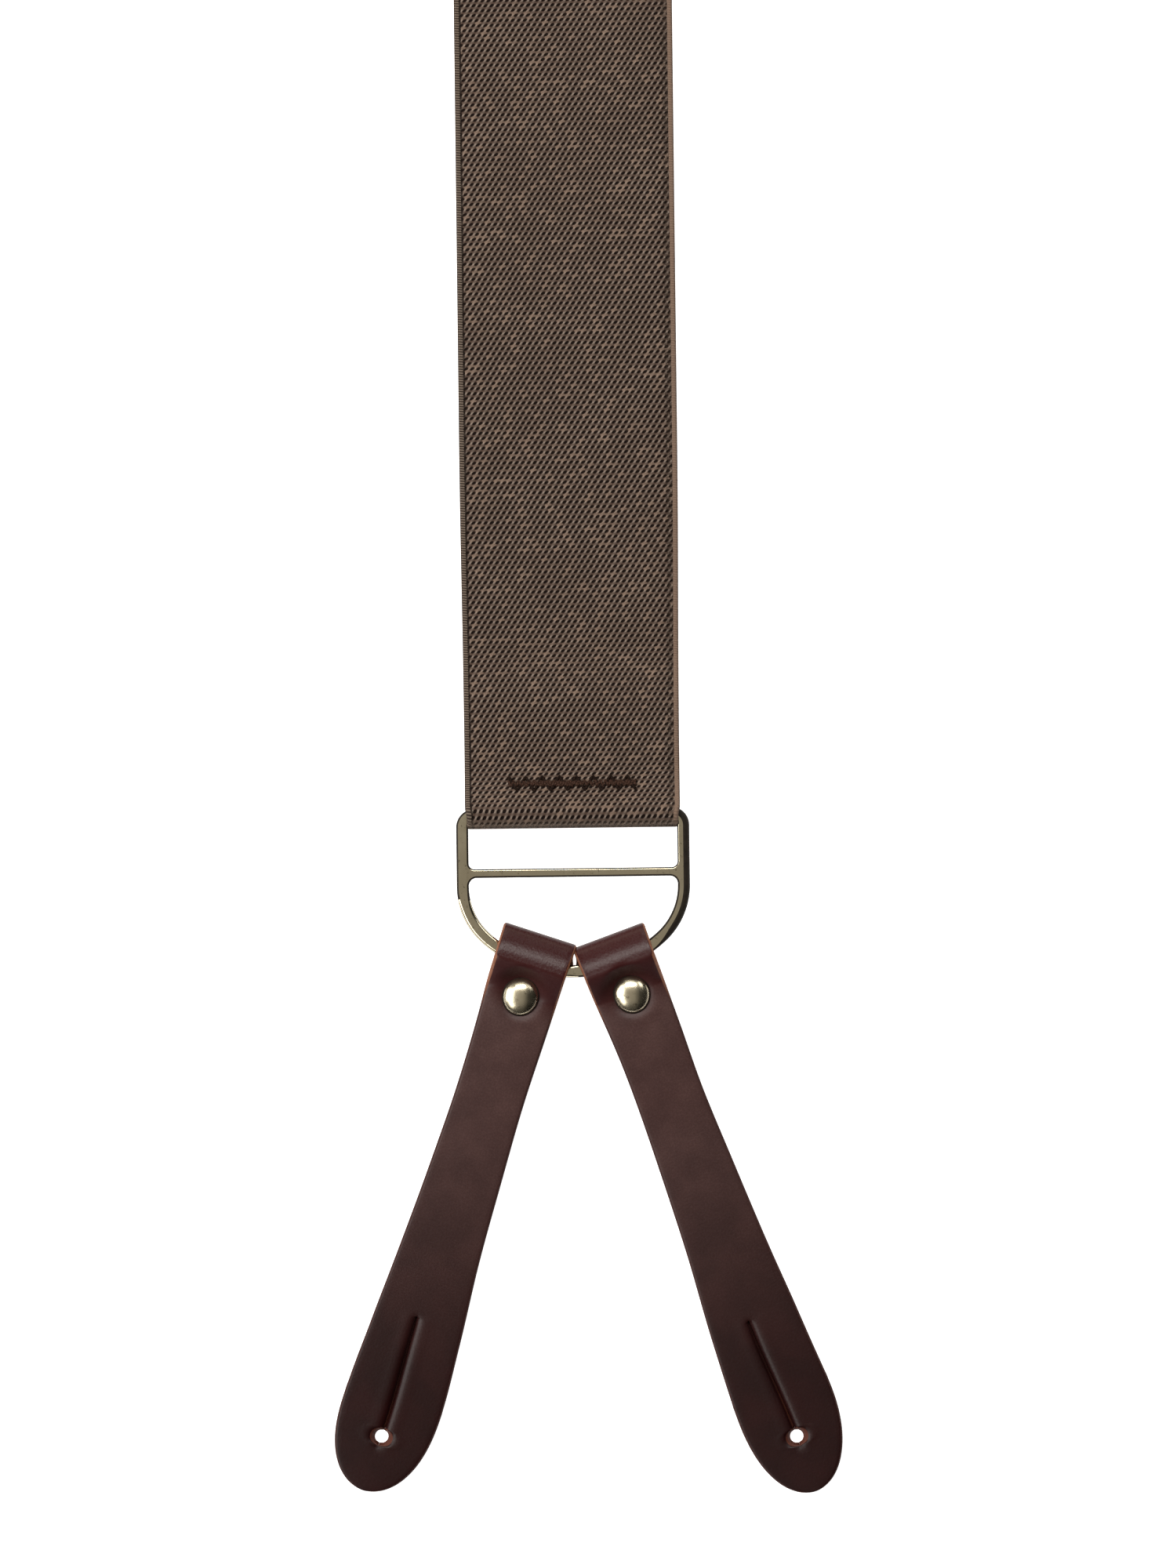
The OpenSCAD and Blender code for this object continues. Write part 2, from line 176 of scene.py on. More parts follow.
def lengths(points):
    """How far along a line of points each of them lies."""
    return np.concatenate([[0], np.cumsum(np.linalg.norm(np.diff(points, axis=0), axis=1))])


# ---- Meshes ---------------------------------------------------------------
def show(obj):
    """Puts an object into the scene."""
    bpy.context.scene.collection.objects.link(obj)


def new_object(name, verts, faces, materials, uv=None, face_material=None):
    """A mesh object from points in millimetres. uv holds one (u, v) a point, also in millimetres."""
    mesh = bpy.data.meshes.new(name)
    mesh.from_pydata((np.asarray(verts) * MM).tolist(), [], faces)
    for m in materials:
        mesh.materials.append(m)
    if face_material is not None:
        mesh.polygons.foreach_set("material_index", np.asarray(face_material, np.int32))
    mesh.polygons.foreach_set("use_smooth", np.full(len(mesh.polygons), True))
    obj = bpy.data.objects.new(name, mesh)
    show(obj)
    if uv is not None:
        add_uv(obj, "cloth", uv)
    mesh.update()
    return obj


def add_uv(obj, name, uv):
    """One more UV map, with one (u, v) a point."""
    mesh = obj.data
    layer = mesh.uv_layers.new(name=name)
    corner = np.zeros(len(mesh.loops), np.int32)
    mesh.loops.foreach_get("vertex_index", corner)
    layer.data.foreach_set("uv", np.asarray(uv, np.float32)[corner].ravel())


def quads(index):
    """The quads of a grid of point numbers."""
    a, b, c, d = index[:-1, :-1], index[:-1, 1:], index[1:, 1:], index[1:, :-1]
    return np.stack([a, b, c, d], -1).reshape(-1, 4)


@contextlib.contextmanager
def editing(obj):
    """The object's mesh as a bmesh, written back afterwards."""
    bm = bmesh.new()
    bm.from_mesh(obj.data)
    yield bm
    bm.to_mesh(obj.data)
    bm.free()


def tidy(obj, merge=0.001):
    """Joins points that meet and turns every face outwards."""
    with editing(obj) as bm:
        bmesh.ops.remove_doubles(bm, verts=bm.verts, dist=merge * MM)
        bmesh.ops.dissolve_degenerate(bm, dist=merge * MM, edges=bm.edges)
        bmesh.ops.recalc_face_normals(bm, faces=bm.faces)
    return obj


def sharpen(obj, angle):
    """Marks the edges that bend by more than angle degrees as sharp."""
    with editing(obj) as bm:
        for edge in bm.edges:
            if len(edge.link_faces) == 2 and edge.calc_face_angle(0.0) > math.radians(angle):
                edge.smooth = False


def tube(name, path, radius, materials, sides, closed=False, flatten=1.0):
    """A tube along points. radius may vary; flatten is its height over its width."""
    path = np.asarray(path, float)
    n = len(path)
    radius = np.broadcast_to(radius, n)
    ahead = np.roll(path, -1, 0) if closed else np.vstack([path[1:], path[-1:]])
    back = np.roll(path, 1, 0) if closed else np.vstack([path[:1], path[:-1]])
    t = ahead - back
    t /= np.linalg.norm(t, axis=1)[:, None]
    up = np.array([0.0, 0.0, 1.0])
    across = np.cross(t, up)
    across /= np.linalg.norm(across, axis=1)[:, None] + 1e-9
    lift = np.cross(across, t)
    a = np.linspace(0, 2 * np.pi, sides, endpoint=False)
    ring = (np.cos(a)[None, :, None] * across[:, None]
            + flatten * np.sin(a)[None, :, None] * lift[:, None])
    verts = path[:, None] + radius[:, None, None] * ring
    index = np.arange(n * sides).reshape(n, sides)
    index = np.hstack([index, index[:, :1]])
    if closed:
        index = np.vstack([index, index[:1]])
    faces = quads(index).tolist()
    if not closed:
        faces += [index[0, :-1].tolist()[::-1], index[-1, :-1].tolist()]
    run = lengths(path)
    uv = np.stack(np.broadcast_arrays(np.arange(sides) / sides, run[:, None]), -1)
    return new_object(name, verts.reshape(-1, 3), faces, materials, uv.reshape(-1, 2))


def lathe(name, place, at, profile, materials, painted_shade_from=None, long=1.0):
    """A turned piece: profile is (radius, height) from the middle out and down.

    It is long times as long, along its place's x, as it is wide. From the profile's point number
    painted_shade_from on, it has its second material.
    """
    profile = np.asarray(profile, float)
    sides = 72
    a = np.linspace(0, 2 * np.pi, sides, endpoint=False)
    r, z = profile[:, :1], profile[:, 1:]
    verts = place(at + long * r * np.cos(a), r * np.sin(a), z + 0 * a).reshape(-1, 3)
    index = np.arange(len(profile) * sides).reshape(len(profile), sides)
    index = np.hstack([index, index[:, :1]])
    faces = quads(index).tolist()
    uv = np.stack(np.broadcast_arrays(r * np.cos(a), r * np.sin(a)), -1).reshape(-1, 2)
    band = np.repeat(np.arange(len(profile) - 1), sides)
    mats = (band >= (len(profile) if painted_shade_from is None else painted_shade_from)) * 1
    return tidy(new_object(name, verts, faces, materials, uv, mats))


def rim(r, steps):
    """How far in from the edge, and how far down, the rounding's points lie, edge first."""
    b = np.radians(np.linspace(90, 0, steps + 1)[:-1])
    return r * (1 - np.sin(b)), r * (1 - np.cos(b))


def sheet_mesh(name, mid, half, run, top_cols=36, relief=None, fold=None):
    """A closed sheet about a middle surface.

    mid(y) gives the surface's points for offsets y, one row of the sheet a row. half is the
    half width at each row, and run is how far along the sheet it lies. relief(u, v) lifts the
    outer face. fold says how far each row lies past the bar that the sheet is folded round.
    """
    half = np.asarray(half, float)[:, None]
    inset, drop = rim(WEB_EDGE_R, 3)

    def columns(count):
        """Offsets, and how far the surface lies under the full thickness there."""
        inner = np.linspace(-1, 1, count + 1)[None] * (half - WEB_EDGE_R)
        left = -half + inset[None]
        y = np.hstack([left, inner, -left[:, ::-1]])
        down = np.concatenate([drop, np.zeros(count + 1), drop[::-1]])
        return y, down

    def face(count, sign):
        y, down = columns(count)
        p = mid(y)
        along = np.gradient(p, axis=0)
        across = np.gradient(p, axis=1)
        n = np.cross(along, across)
        n /= np.linalg.norm(n, axis=2)[..., None] + 1e-12
        h = WEB_T / 2 - down[None] + 0 * y
        u = y / half * STRAP_W / 2
        v = run[:, None] + 0 * y
        if relief is not None and sign > 0:
            h = h + relief(u, v)
        return p + sign * n * h[..., None], np.stack([u, v], -1)

    top, top_uv = face(top_cols, 1)
    low, low_uv = face(12, -1)
    n, mt, ml = top.shape[0], top.shape[1], low.shape[1]
    ti = np.arange(n * mt).reshape(n, mt)
    li = n * mt + np.arange(n * ml).reshape(n, ml)
    faces = [quads(ti), quads(li)[:, ::-1]]
    for edge in (0, -1):
        wall = quads(np.stack([ti[:, edge], li[:, edge]], 1))
        faces.append(wall if edge else wall[:, ::-1])
    faces = np.vstack(faces).tolist()
    faces.append(ti[0].tolist()[::-1] + li[0].tolist())
    faces.append(ti[-1].tolist() + li[-1].tolist()[::-1])
    verts = np.vstack([top.reshape(-1, 3), low.reshape(-1, 3)])
    uv = np.vstack([top_uv.reshape(-1, 2), low_uv.reshape(-1, 2)])
    obj = new_object(name, verts, faces, [WEBBING], uv)
    past = np.full(n, -9.0) if fold is None else fold
    past = np.concatenate([np.repeat(past, mt), np.repeat(past, ml)])
    add_uv(obj, "fold", np.stack([past, 0 * past], 1))
    with editing(obj) as bm:
        bmesh.ops.recalc_face_normals(bm, faces=bm.faces)
    return obj


# ---- Node helpers ---------------------------------------------------------
class Nodes:
    """A short way to build a material's or a world's node tree."""

    def __init__(self, tree):
        self.tree = tree

    def add(self, kind, **inputs):
        node = self.tree.nodes.new(kind)
        for key, value in inputs.items():
            if key in ("operation", "data_type", "uv_map", "interpolation_type"):
                setattr(node, key, value)
            else:
                self.put(node, key, value)
        return node

    def put(self, node, key, value):
        socket = node.inputs[int(key[1:])] if key[0] == "i" and key[1:].isdigit() \
            else node.inputs[key]
        if isinstance(value, bpy.types.NodeSocket):
            self.tree.links.new(value, socket)
        elif isinstance(value, (tuple, list)) and len(value) == 3 and socket.type == "RGBA":
            socket.default_value = (*value, 1.0)
        else:
            socket.default_value = value

    def math(self, operation, a, b=0.0, c=0.0):
        return self.add("ShaderNodeMath", operation=operation, i0=a, i1=b, i2=c).outputs[0]

    def times(self, a, b):
        return self.math("MULTIPLY", a, b)

    def mix(self, fac, a, b):
        node = self.add("ShaderNodeMix", data_type="RGBA", i0=fac, i6=a, i7=b)
        return node.outputs[2]

    def blend(self, fac, a, b):
        node = self.add("ShaderNodeMix", data_type="FLOAT", i0=fac, i2=a, i3=b)
        return node.outputs[0]

    def step(self, value, low, high, to_low=0.0, to_high=1.0):
        return self.add("ShaderNodeMapRange", interpolation_type="SMOOTHSTEP", i0=value, i1=low,
                        i2=high, i3=to_low, i4=to_high).outputs[0]

    def wave(self, phase):
        """0 to 1 to 0 with each whole turn of phase, 1 at whole numbers."""
        turned = self.math("COSINE", self.times(phase, 2 * math.pi))
        return self.math("MULTIPLY_ADD", turned, 0.5, 0.5)

    def noise(self, vector, scale, detail=3.0, roughness=0.5):
        return self.add("ShaderNodeTexNoise", Vector=vector, Scale=scale, Detail=detail,
                        Roughness=roughness).outputs[0]

    def uv(self, name="cloth"):
        """A UV map's vector and its two coordinates."""
        vector = self.add("ShaderNodeUVMap", uv_map=name).outputs[0]
        split = self.add("ShaderNodeSeparateXYZ", Vector=vector)
        return vector, split.outputs[0], split.outputs[1]

    def bump(self, shader, strength, distance, height):
        """Tilts the shader's normal by a height in units of distance millimetres."""
        node = self.add("ShaderNodeBump", Strength=strength, Distance=distance * MM,
                        Height=height)
        self.put(shader, "Normal", node.outputs[0])


def material(name, **settings):
    """A material with a Principled shader, its node helper and the shader."""
    m = bpy.data.materials.new(name)
    m.use_nodes = True
    shader = m.node_tree.nodes["Principled BSDF"]
    for key, value in settings.items():
        socket = shader.inputs[key.replace("_", " ")]
        socket.default_value = (*value, 1.0) if isinstance(value, tuple) and len(value) == 3 \
            and socket.type == "RGBA" else value
    return m, Nodes(m.node_tree), shader


def rgb(r, g, b):
    """Linear colour from display values."""
    def line(c):
        c /= 255
        return c / 12.92 if c < 0.04045 else ((c + 0.055) / 1.055) ** 2.4
    return line(r), line(g), line(b)


# ---- Materials ------------------------------------------------------------
PITCH = 1.0
ROW_PITCH = 0.82
SHEAR = -0.52
RIB_PITCH = 0.41
CROWD_PITCH = 0.5
WEB_CROWN_HIGHLIGHT = rgb(166, 150, 138)
WEB_MIDDLE = rgb(79, 62, 53)
WEB_PIT_SHADE = rgb(12, 2, 0)
WEB_WARM = rgb(170, 144, 126)


def webbing_material():
    """Twill ribs across the strap, their pits, the two selvedges and the crowded fold."""
    m, n, shader = material("webbing", Roughness=0.8, Specular_IOR_Level=0.12)
    uv, across, along = n.uv()
    wander = n.math("MULTIPLY_ADD", n.noise(uv, 0.35, 2.0), 0.24, -0.12)
    u = n.math("ADD", across, wander)
    v = n.math("ADD", along, n.times(wander, 0.6))
    t = n.times(v, 1 / ROW_PITCH)
    s = n.math("MULTIPLY_ADD", t, SHEAR, n.times(u, 1 / PITCH))
    cs, ct = n.wave(s), n.wave(t)
    grain_light = n.times(n.math("SUBTRACT", 1.0, cs), n.math("MULTIPLY_ADD", ct, 0.65, 0.35))
    hole = n.step(n.times(n.math("POWER", cs, 1.1), ct), 0.13, 0.52)
    cell = n.add("ShaderNodeCombineXYZ", i0=n.math("FLOOR", s), i1=n.math("FLOOR", t))
    grain = n.add("ShaderNodeTexWhiteNoise", Vector=cell.outputs[0])
    fine = n.noise(uv, 5.5, 3.0, 0.6)
    broad = n.noise(uv, 0.09, 3.0)
    # The grains' crowns are painted lighter as painted highlight.
    thread = n.mix(n.math("POWER", grain_light, 1.4), WEB_MIDDLE, WEB_CROWN_HIGHLIGHT)
    warm = n.mix(n.step(grain.outputs[0], 0.7, 1.0, 0.0, 0.5), thread, WEB_WARM)
    colour = n.mix(n.step(fine, 0.3, 0.72, 0.4, 0.0), warm, WEB_MIDDLE)
    colour = n.mix(n.step(broad, 0.3, 0.7, 0.16, 0.0), colour, WEB_MIDDLE)
    # The pits between the grains are painted near-black as painted shade.
    colour = n.mix(n.times(hole, 0.95), colour, WEB_PIT_SHADE)
    height = n.math("SUBTRACT", n.times(grain_light, 0.8), hole)
    height = n.math("MULTIPLY_ADD", fine, 0.45, height)

    # Selvedges: fine ribs and a dark line on one side, a broken line and a plain lip on the other.
    ribs = n.wave(n.math("MULTIPLY_ADD", across, 0.25, n.times(along, 1 / RIB_PITCH)))
    rib_colour = n.mix(ribs, rgb(36, 27, 22), rgb(128, 113, 101))
    left = n.step(across, -17.1, -17.16)
    line = n.times(n.step(across, -17.2, -17.1), n.step(across, -16.8, -16.9))
    right = n.step(across, 17.1, 17.2)
    broken = n.times(n.step(across, 16.05, 16.3), n.step(across, 17.22, 17.1))
    broken = n.times(broken, n.step(n.noise(uv, 2.2, 2.0), 0.38, 0.58))
    colour = n.mix(left, colour, rib_colour)
    colour = n.mix(n.times(line, 0.85), colour, rgb(28, 19, 14))
    colour = n.mix(n.times(broken, 0.5), colour, rgb(58, 47, 40))
    colour = n.mix(right, colour, rgb(136, 113, 98))
    edge = n.step(n.math("ABSOLUTE", across), 17.72, 17.98, 0.0, 0.6)
    colour = n.mix(edge, colour, rgb(45, 32, 25))
    height = n.blend(n.math("MAXIMUM", left, right), height, n.times(ribs, 0.5))
    height = n.math("MULTIPLY_ADD", n.math("MAXIMUM", line, broken), -0.8, height)

    # Round the D-ring's bar the rows crowd together into darker ribs along the bar.
    _, past_bar, _ = n.uv("fold")
    nose = n.step(past_bar, 0.5, 1.6, 0.0, 0.8)
    crowd = n.wave(n.math("MULTIPLY_ADD", n.math("ADD", past_bar, fine), 1 / CROWD_PITCH, 0.3))
    colour = n.mix(nose, colour, n.mix(crowd, rgb(58, 45, 37), rgb(140, 123, 110)))
    n.put(shader, "Base Color", colour)
    n.bump(shader, 0.9, 0.16, height)
    return m


def thread_material(name, deep, pale):
    m, n, shader = material(name, Roughness=0.7, Specular_IOR_Level=0.1)
    uv, around, along = n.uv()
    ply = n.wave(n.math("MULTIPLY_ADD", along, 2.2, n.times(around, 2.0)))
    fluff = n.step(n.noise(uv, 6.0), 0.35, 0.7, 0.35, 0.0)
    n.put(shader, "Base Color", n.mix(fluff, n.mix(ply, deep, pale), rgb(20, 13, 10)))
    n.bump(shader, 0.7, 0.07, ply)
    return m


def leather_material():
    """Waxed hide, glossier on the loop and painted deep red there, partly its own redder tone and
    partly painted shade; lighter above as painted sheen, darker towards the tip.
    """
    m, n, shader = material("leather", Specular_IOR_Level=0.3)
    uv, _, along = n.uv()
    cloud = n.step(n.noise(uv, 0.12, 4.0, 0.55), 0.3, 0.72)
    speck = n.noise(uv, 3.4, 3.0, 0.65)
    pore = n.add("ShaderNodeTexVoronoi", Vector=uv, Scale=2.6).outputs[0]
    # The upper part's lighter colour is painted sheen.
    upper = n.mix(cloud, rgb(75, 51, 49), rgb(90, 64, 61))
    lower = n.mix(cloud, rgb(30, 4, 4), rgb(41, 10, 10))
    colour = n.mix(n.step(along, 10.0, 78.0), upper, lower)
    colour = n.mix(n.step(speck, 0.35, 0.75, 0.3, 0.0), colour, rgb(34, 12, 10))
    # Painted shade: the loop and its slope down to the rivet are painted deep red, partly the hide's
    # own redder tone.
    loop = n.step(along, 9.0, 3.0)
    colour = n.mix(n.times(loop, 0.92), colour, rgb(55, 11, 12))
    n.put(shader, "Base Color", colour)
    rough = n.math("MULTIPLY_ADD", loop, -0.1, n.step(speck, 0.2, 0.8, 0.3, 0.46))
    # The hide is duller where it is drawn down to the rivet.
    drawn = n.times(n.step(along, 0.0, 1.2), n.step(along, 5.5, 3.5))
    n.put(shader, "Roughness", n.math("MULTIPLY_ADD", drawn, 0.45, rough))
    n.bump(shader, 0.35, 0.05, n.math("MULTIPLY_ADD", pore, 0.5, n.times(speck, 0.8)))
    return m


def leather_edge_material():
    """The cut edge: raw and tan by the loop and in the buttonhole, stained dark elsewhere."""
    m, n, shader = material("leather_edge", Roughness=0.7, Specular_IOR_Level=0.3)
    uv, across, along = n.uv()
    fibre = n.noise(uv, 2.5, 4.0, 0.7)
    tan = n.mix(fibre, rgb(84, 46, 32), rgb(164, 108, 80))
    dark = n.mix(fibre, rgb(34, 14, 12), rgb(74, 36, 30))
    by_hole = n.times(n.step(n.math("ABSOLUTE", across), 3.0, 2.5), n.step(along, 70.0, 80.0))
    raw = n.math("MAXIMUM", n.step(along, 10.0, 3.0), by_hole)
    tan = n.mix(n.step(along, 60.0, 70.0), tan, rgb(92, 48, 36))
    n.put(shader, "Base Color", n.mix(raw, dark, tan))
    n.bump(shader, 0.5, 0.1, fibre)
    return m


def nickel_material(name, smoothest, roughest):
    m, n, shader = material(name, Metallic=1.0)
    where = n.add("ShaderNodeTexCoord").outputs["Object"]
    haze = n.noise(where, 260.0, 4.0, 0.6)
    pits = n.noise(where, 1500.0, 2.0, 0.5)
    colour = n.mix(haze, rgb(222, 210, 180), rgb(232, 222, 196))
    colour = n.mix(n.step(pits, 0.6, 0.78, 0.0, 0.6), colour, rgb(120, 108, 88))
    n.put(shader, "Base Color", colour)
    n.put(shader, "Roughness", n.step(haze, 0.25, 0.8, smoothest, roughest))
    n.bump(shader, 0.12, 0.08, n.math("MULTIPLY_ADD", pits, 0.5, haze))
    return m


def painted_shade_material():
    """Painted shade and painted dark reflection for the nickel's rounded edges and the rivets' rims.
    """
    m, n, shader = material("nickel_shade", Roughness=0.6, Specular_IOR_Level=0.15)
    where = n.add("ShaderNodeTexCoord").outputs["Object"]
    patch = n.noise(where, 900.0, 3.0)
    n.put(shader, "Base Color", n.mix(patch, rgb(22, 18, 15), rgb(52, 45, 37)))
    return m


WEBBING = webbing_material()
THREAD = thread_material("thread", rgb(50, 31, 23), rgb(82, 58, 47))
# Near-black thread for the wide zigzag: painted shadow where the thread turns into the webbing.
THREAD_SHADOW = thread_material("thread_shadow", rgb(20, 10, 6), rgb(44, 28, 20))
LEATHER = leather_material()
LEATHER_EDGE = leather_edge_material()
NICKEL = nickel_material("nickel", 0.09, 0.2)
SATIN_NICKEL = nickel_material("nickel_satin", 0.2, 0.3)
NICKEL_SHADE = painted_shade_material()


# ---- Centre ring's lines --------------------------------------------------
centre_y = joints["rear_straps_on_ring"]["pos_m"][1] / MM + 0.74
top_c = np.array([0.0, RING_TOP_SHARE * RING_H])
low_c = np.array([-RING_W / 2, top_c[1] - RING_H])
low_c2 = low_c * [-1, 1]
side_c = meet(low_c, SIDE_BOW_R + LOW_BEND_R, top_c, SIDE_BOW_R + TOP_BEND_R)
base_c = meet(low_c2, BASE_BOW_R + LOW_BEND_R, low_c, BASE_BOW_R + LOW_BEND_R)
SHIFT = np.array([0.0, centre_y - (base_c[1] + BASE_BOW_R)])
base_mid = np.array([0.0, base_c[1] + BASE_BOW_R]) + SHIFT
side_toward = (heading(top_c - side_c) + heading(low_c - side_c)) / 2
side_mid = side_c + SIDE_BOW_R * unit(side_toward)


def centre_ring():
    a_out = heading(side_c - top_c)
    a_low = heading(low_c - side_c)
    a_top = heading(top_c - side_c)
    a_side = heading(side_c - low_c)
    a_base = heading(base_c - low_c) + 360
    a_end = heading(low_c - base_c)
    side = np.vstack([
        arc(top_c, TOP_BEND_R, 90, a_out if a_out > 0 else a_out + 360, 14)[:-1],
        arc(side_c, SIDE_BOW_R, a_top, a_low, 30)[:-1],
        arc(low_c, LOW_BEND_R, a_side, a_base, 16)[:-1],
        arc(base_c, BASE_BOW_R, a_end, 90, 16)])
    loop = np.vstack([side, (side * [-1, 1])[::-1][1:-1]]) + SHIFT
    path = np.hstack([loop, np.full((len(loop), 1), RING_Z)])
    ring = tube("centre_ring_wire", path, WIRE_R, [NICKEL], sides=24, closed=True)
    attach(tidy(ring), "centre_ring")
    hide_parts("centre_ring")


# ---- Webbing round the D-rings and the centre ring ------------------------
WRAP_R = 1.08 + WEB_T / 2
RING_WRAP_R = 2.05 + WEB_T / 2
SIDE_WRAP_R = 2.25 + WEB_T / 2
FLAP_LEN = 17.0
SIDE_FLAP_LEN = 19.0
# Between these distances behind the D-ring's bar a back leg rises onto its own flap.
RAMP_FROM = 28.0
RAMP_TO = 8.0
# The last stretch of a back leg is modelled row by row, and END_LEN is its length.
END_LEN = 150.0
# Past these distances from the centre ring a strap runs straight and at its full width.
REAR_REACH = 40.0
SIDE_REACH = 50.0
# The webbing is gathered where it goes round the ring's wire.
REAR_GATHER = 0.8
SIDE_GATHER = 0.74
RIDGE_LIFT = 0.12


def end_path(step):
    """A back leg's end, as (x, z) from its flat run over the bar and back behind itself."""
    run = np.arange(-END_LEN, -RAMP_FROM, step)
    ramp = np.arange(-RAMP_FROM, -RAMP_TO, step)
    lift = WEB_T / 2 + WEB_T * ease((ramp + RAMP_FROM) / 10.0)
    a = np.radians(np.arange(120.0, -91.0, -9.0))
    wrap = np.stack([WRAP_R * np.cos(a), DEE_Z + WRAP_R * np.sin(a)], 1)
    rise = curve((-RAMP_TO, 1.5 * WEB_T), (-5.55, 1.5 * WEB_T), wrap[0], 13)[:-1]
    back = np.linspace(0, 1, 14)[1:]
    under = np.stack([-FLAP_LEN * back,
                      wrap[-1, 1] + (WEB_T / 2 - wrap[-1, 1]) * ease(back * 3)], 1)
    return np.vstack([np.stack([run, 0 * run + WEB_T / 2], 1), np.stack([ramp, lift], 1), rise,
                      wrap, under])


def weave_relief(u, v):
    """The twill's grains and pits, for the stretch that is modelled in full."""
    t = v / ROW_PITCH
    s = u / PITCH + SHEAR * t
    cs = 0.5 + 0.5 * np.cos(2 * np.pi * s)
    ct = 0.5 + 0.5 * np.cos(2 * np.pi * t)
    inside = ease((16.9 - np.abs(u)) / 0.5)
    lip = bump_at(np.abs(u), 17.4, 0.3)
    return inside * RIDGE_LIFT * (0.7 * (1 - cs) * (0.25 + 0.75 * ct) - 1.2 * cs * ct) + 0.04 * lip


def rear_webbing():
    """One length of webbing: the right leg, over the ring's base, and down as the left leg."""
    right = end_path(ROW_PITCH / 3)[1:] + [REAR_LEN, 0.0]
    left = end_path(1.6) + [REAR_LEN, 0.0]
    plain = np.linspace(REAR_LEN - END_LEN - 2, REAR_REACH, 70)
    near = np.linspace(0, 1, 18)
    # A row's kind, its leg's side, where it lies and its height if the path gives one, from the
    # end of the right leg's flap to the end of the left leg's.
    rows = [("leg", 1, x, z) for x, z in right[::-1]]
    rows += [("leg", 1, x, None) for x in plain]
    rows += [("near", 1, k, None) for k in near[-2::-1]]
    rows += [("wrap", 0, a, None) for a in np.arange(75.0, -76.0, -15.0)]
    rows += [("near", -1, k, None) for k in near[:-1]]
    rows += [("leg", -1, x, None) for x in plain[::-1]]
    rows += [("leg", -1, x, z) for x, z in left]
    crotch = RING_STRAP_W / 2 / math.sin(math.radians(REAR_ANGLE)) + 3
    reach = {"leg": 1.0, "near": REAR_REACH, "wrap": 0.0}

    def ring_crossing(y):
        """Where a leg's line at offset y leaves the bowed base, as a plan point."""
        wire_x = y * REAR_GATHER / math.cos(math.radians(REAR_ANGLE))
        dip = np.sqrt((BASE_BOW_R - 0.4) ** 2 - wire_x ** 2) - BASE_BOW_R
        return np.stack([wire_x + base_mid[0], dip + base_mid[1]], -1)

    def height(gap, side):
        """A leg's height at gap from the ring, where the right leg lies on the left one."""
        level = WEB_T / 2
        from_ring = max(RING_Z - RING_WRAP_R, level)
        if side > 0:
            level += WEB_T * (1 - ease((gap - crotch) / 18.0))
            from_ring = RING_Z + RING_WRAP_R
        return level + (from_ring - level) * (1 - ease(gap / 11.0))

    def mid(y):
        out = np.zeros(y.shape + (3,))
        for i, (kind, side, value, z) in enumerate(rows):
            start = ring_crossing(y[i]) if kind != "leg" else None
            if kind == "wrap":
                e = start - (base_c + SHIFT)
                e /= np.linalg.norm(e, axis=-1)[:, None]
                a = math.radians(value)
                out[i, :, :2] = start + e * RING_WRAP_R * math.cos(a)
                out[i, :, 2] = RING_Z + RING_WRAP_R * math.sin(a)
                continue
            d = unit(-90 + side * REAR_ANGLE)
            across = y[i][:, None] * np.array([-d[1], d[0]])
            if kind == "near":
                far = base_mid + REAR_REACH * d + across
                out[i, :, :2] = start + (far - start) * value
            else:
                out[i, :, :2] = base_mid + value * d + across
            out[i, :, 2] = height(value * reach[kind], side) if z is None else z
        return out

    x_all = np.array([value * reach[kind] for kind, _, value, _ in rows])
    near_ring = ease((x_all - 12.0) / 60.0)
    near_end = ease((x_all - (REAR_LEN - 60.0)) / 50.0)
    wrapped = ease((x_all - (REAR_LEN - 1.2)) / 1.8)
    half = (RING_STRAP_W + (STRAP_W - RING_STRAP_W) * near_ring) / 2 - 0.3 * (near_end + wrapped)
    run = lengths(mid(np.zeros((len(rows), 1)))[:, 0])
    fine_run = run[len(right)]

    def relief(u, v):
        return weave_relief(u, v) * ease((fine_run - v) / 10.0)

    obj = sheet_mesh("rear_webbing", mid, half, run, 108, relief, x_all - REAR_LEN)
    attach(obj, "rear_straps")
    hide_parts("rear_strap_left", "rear_strap_right", "rear_ring_fold",
                "end_fold_rear_left", "end_fold_rear_right")


def shoulder_frame(f):
    """A shoulder strap's plan at the ring: the wire's middle, the way, the bow's centre, side."""
    sign = 1 if f == "left" else -1
    flip = np.array([sign, 1])
    return (side_mid * flip + SHIFT, unit(90 + FRONT_ANGLE) * flip, side_c * flip + SHIFT,
            sign)


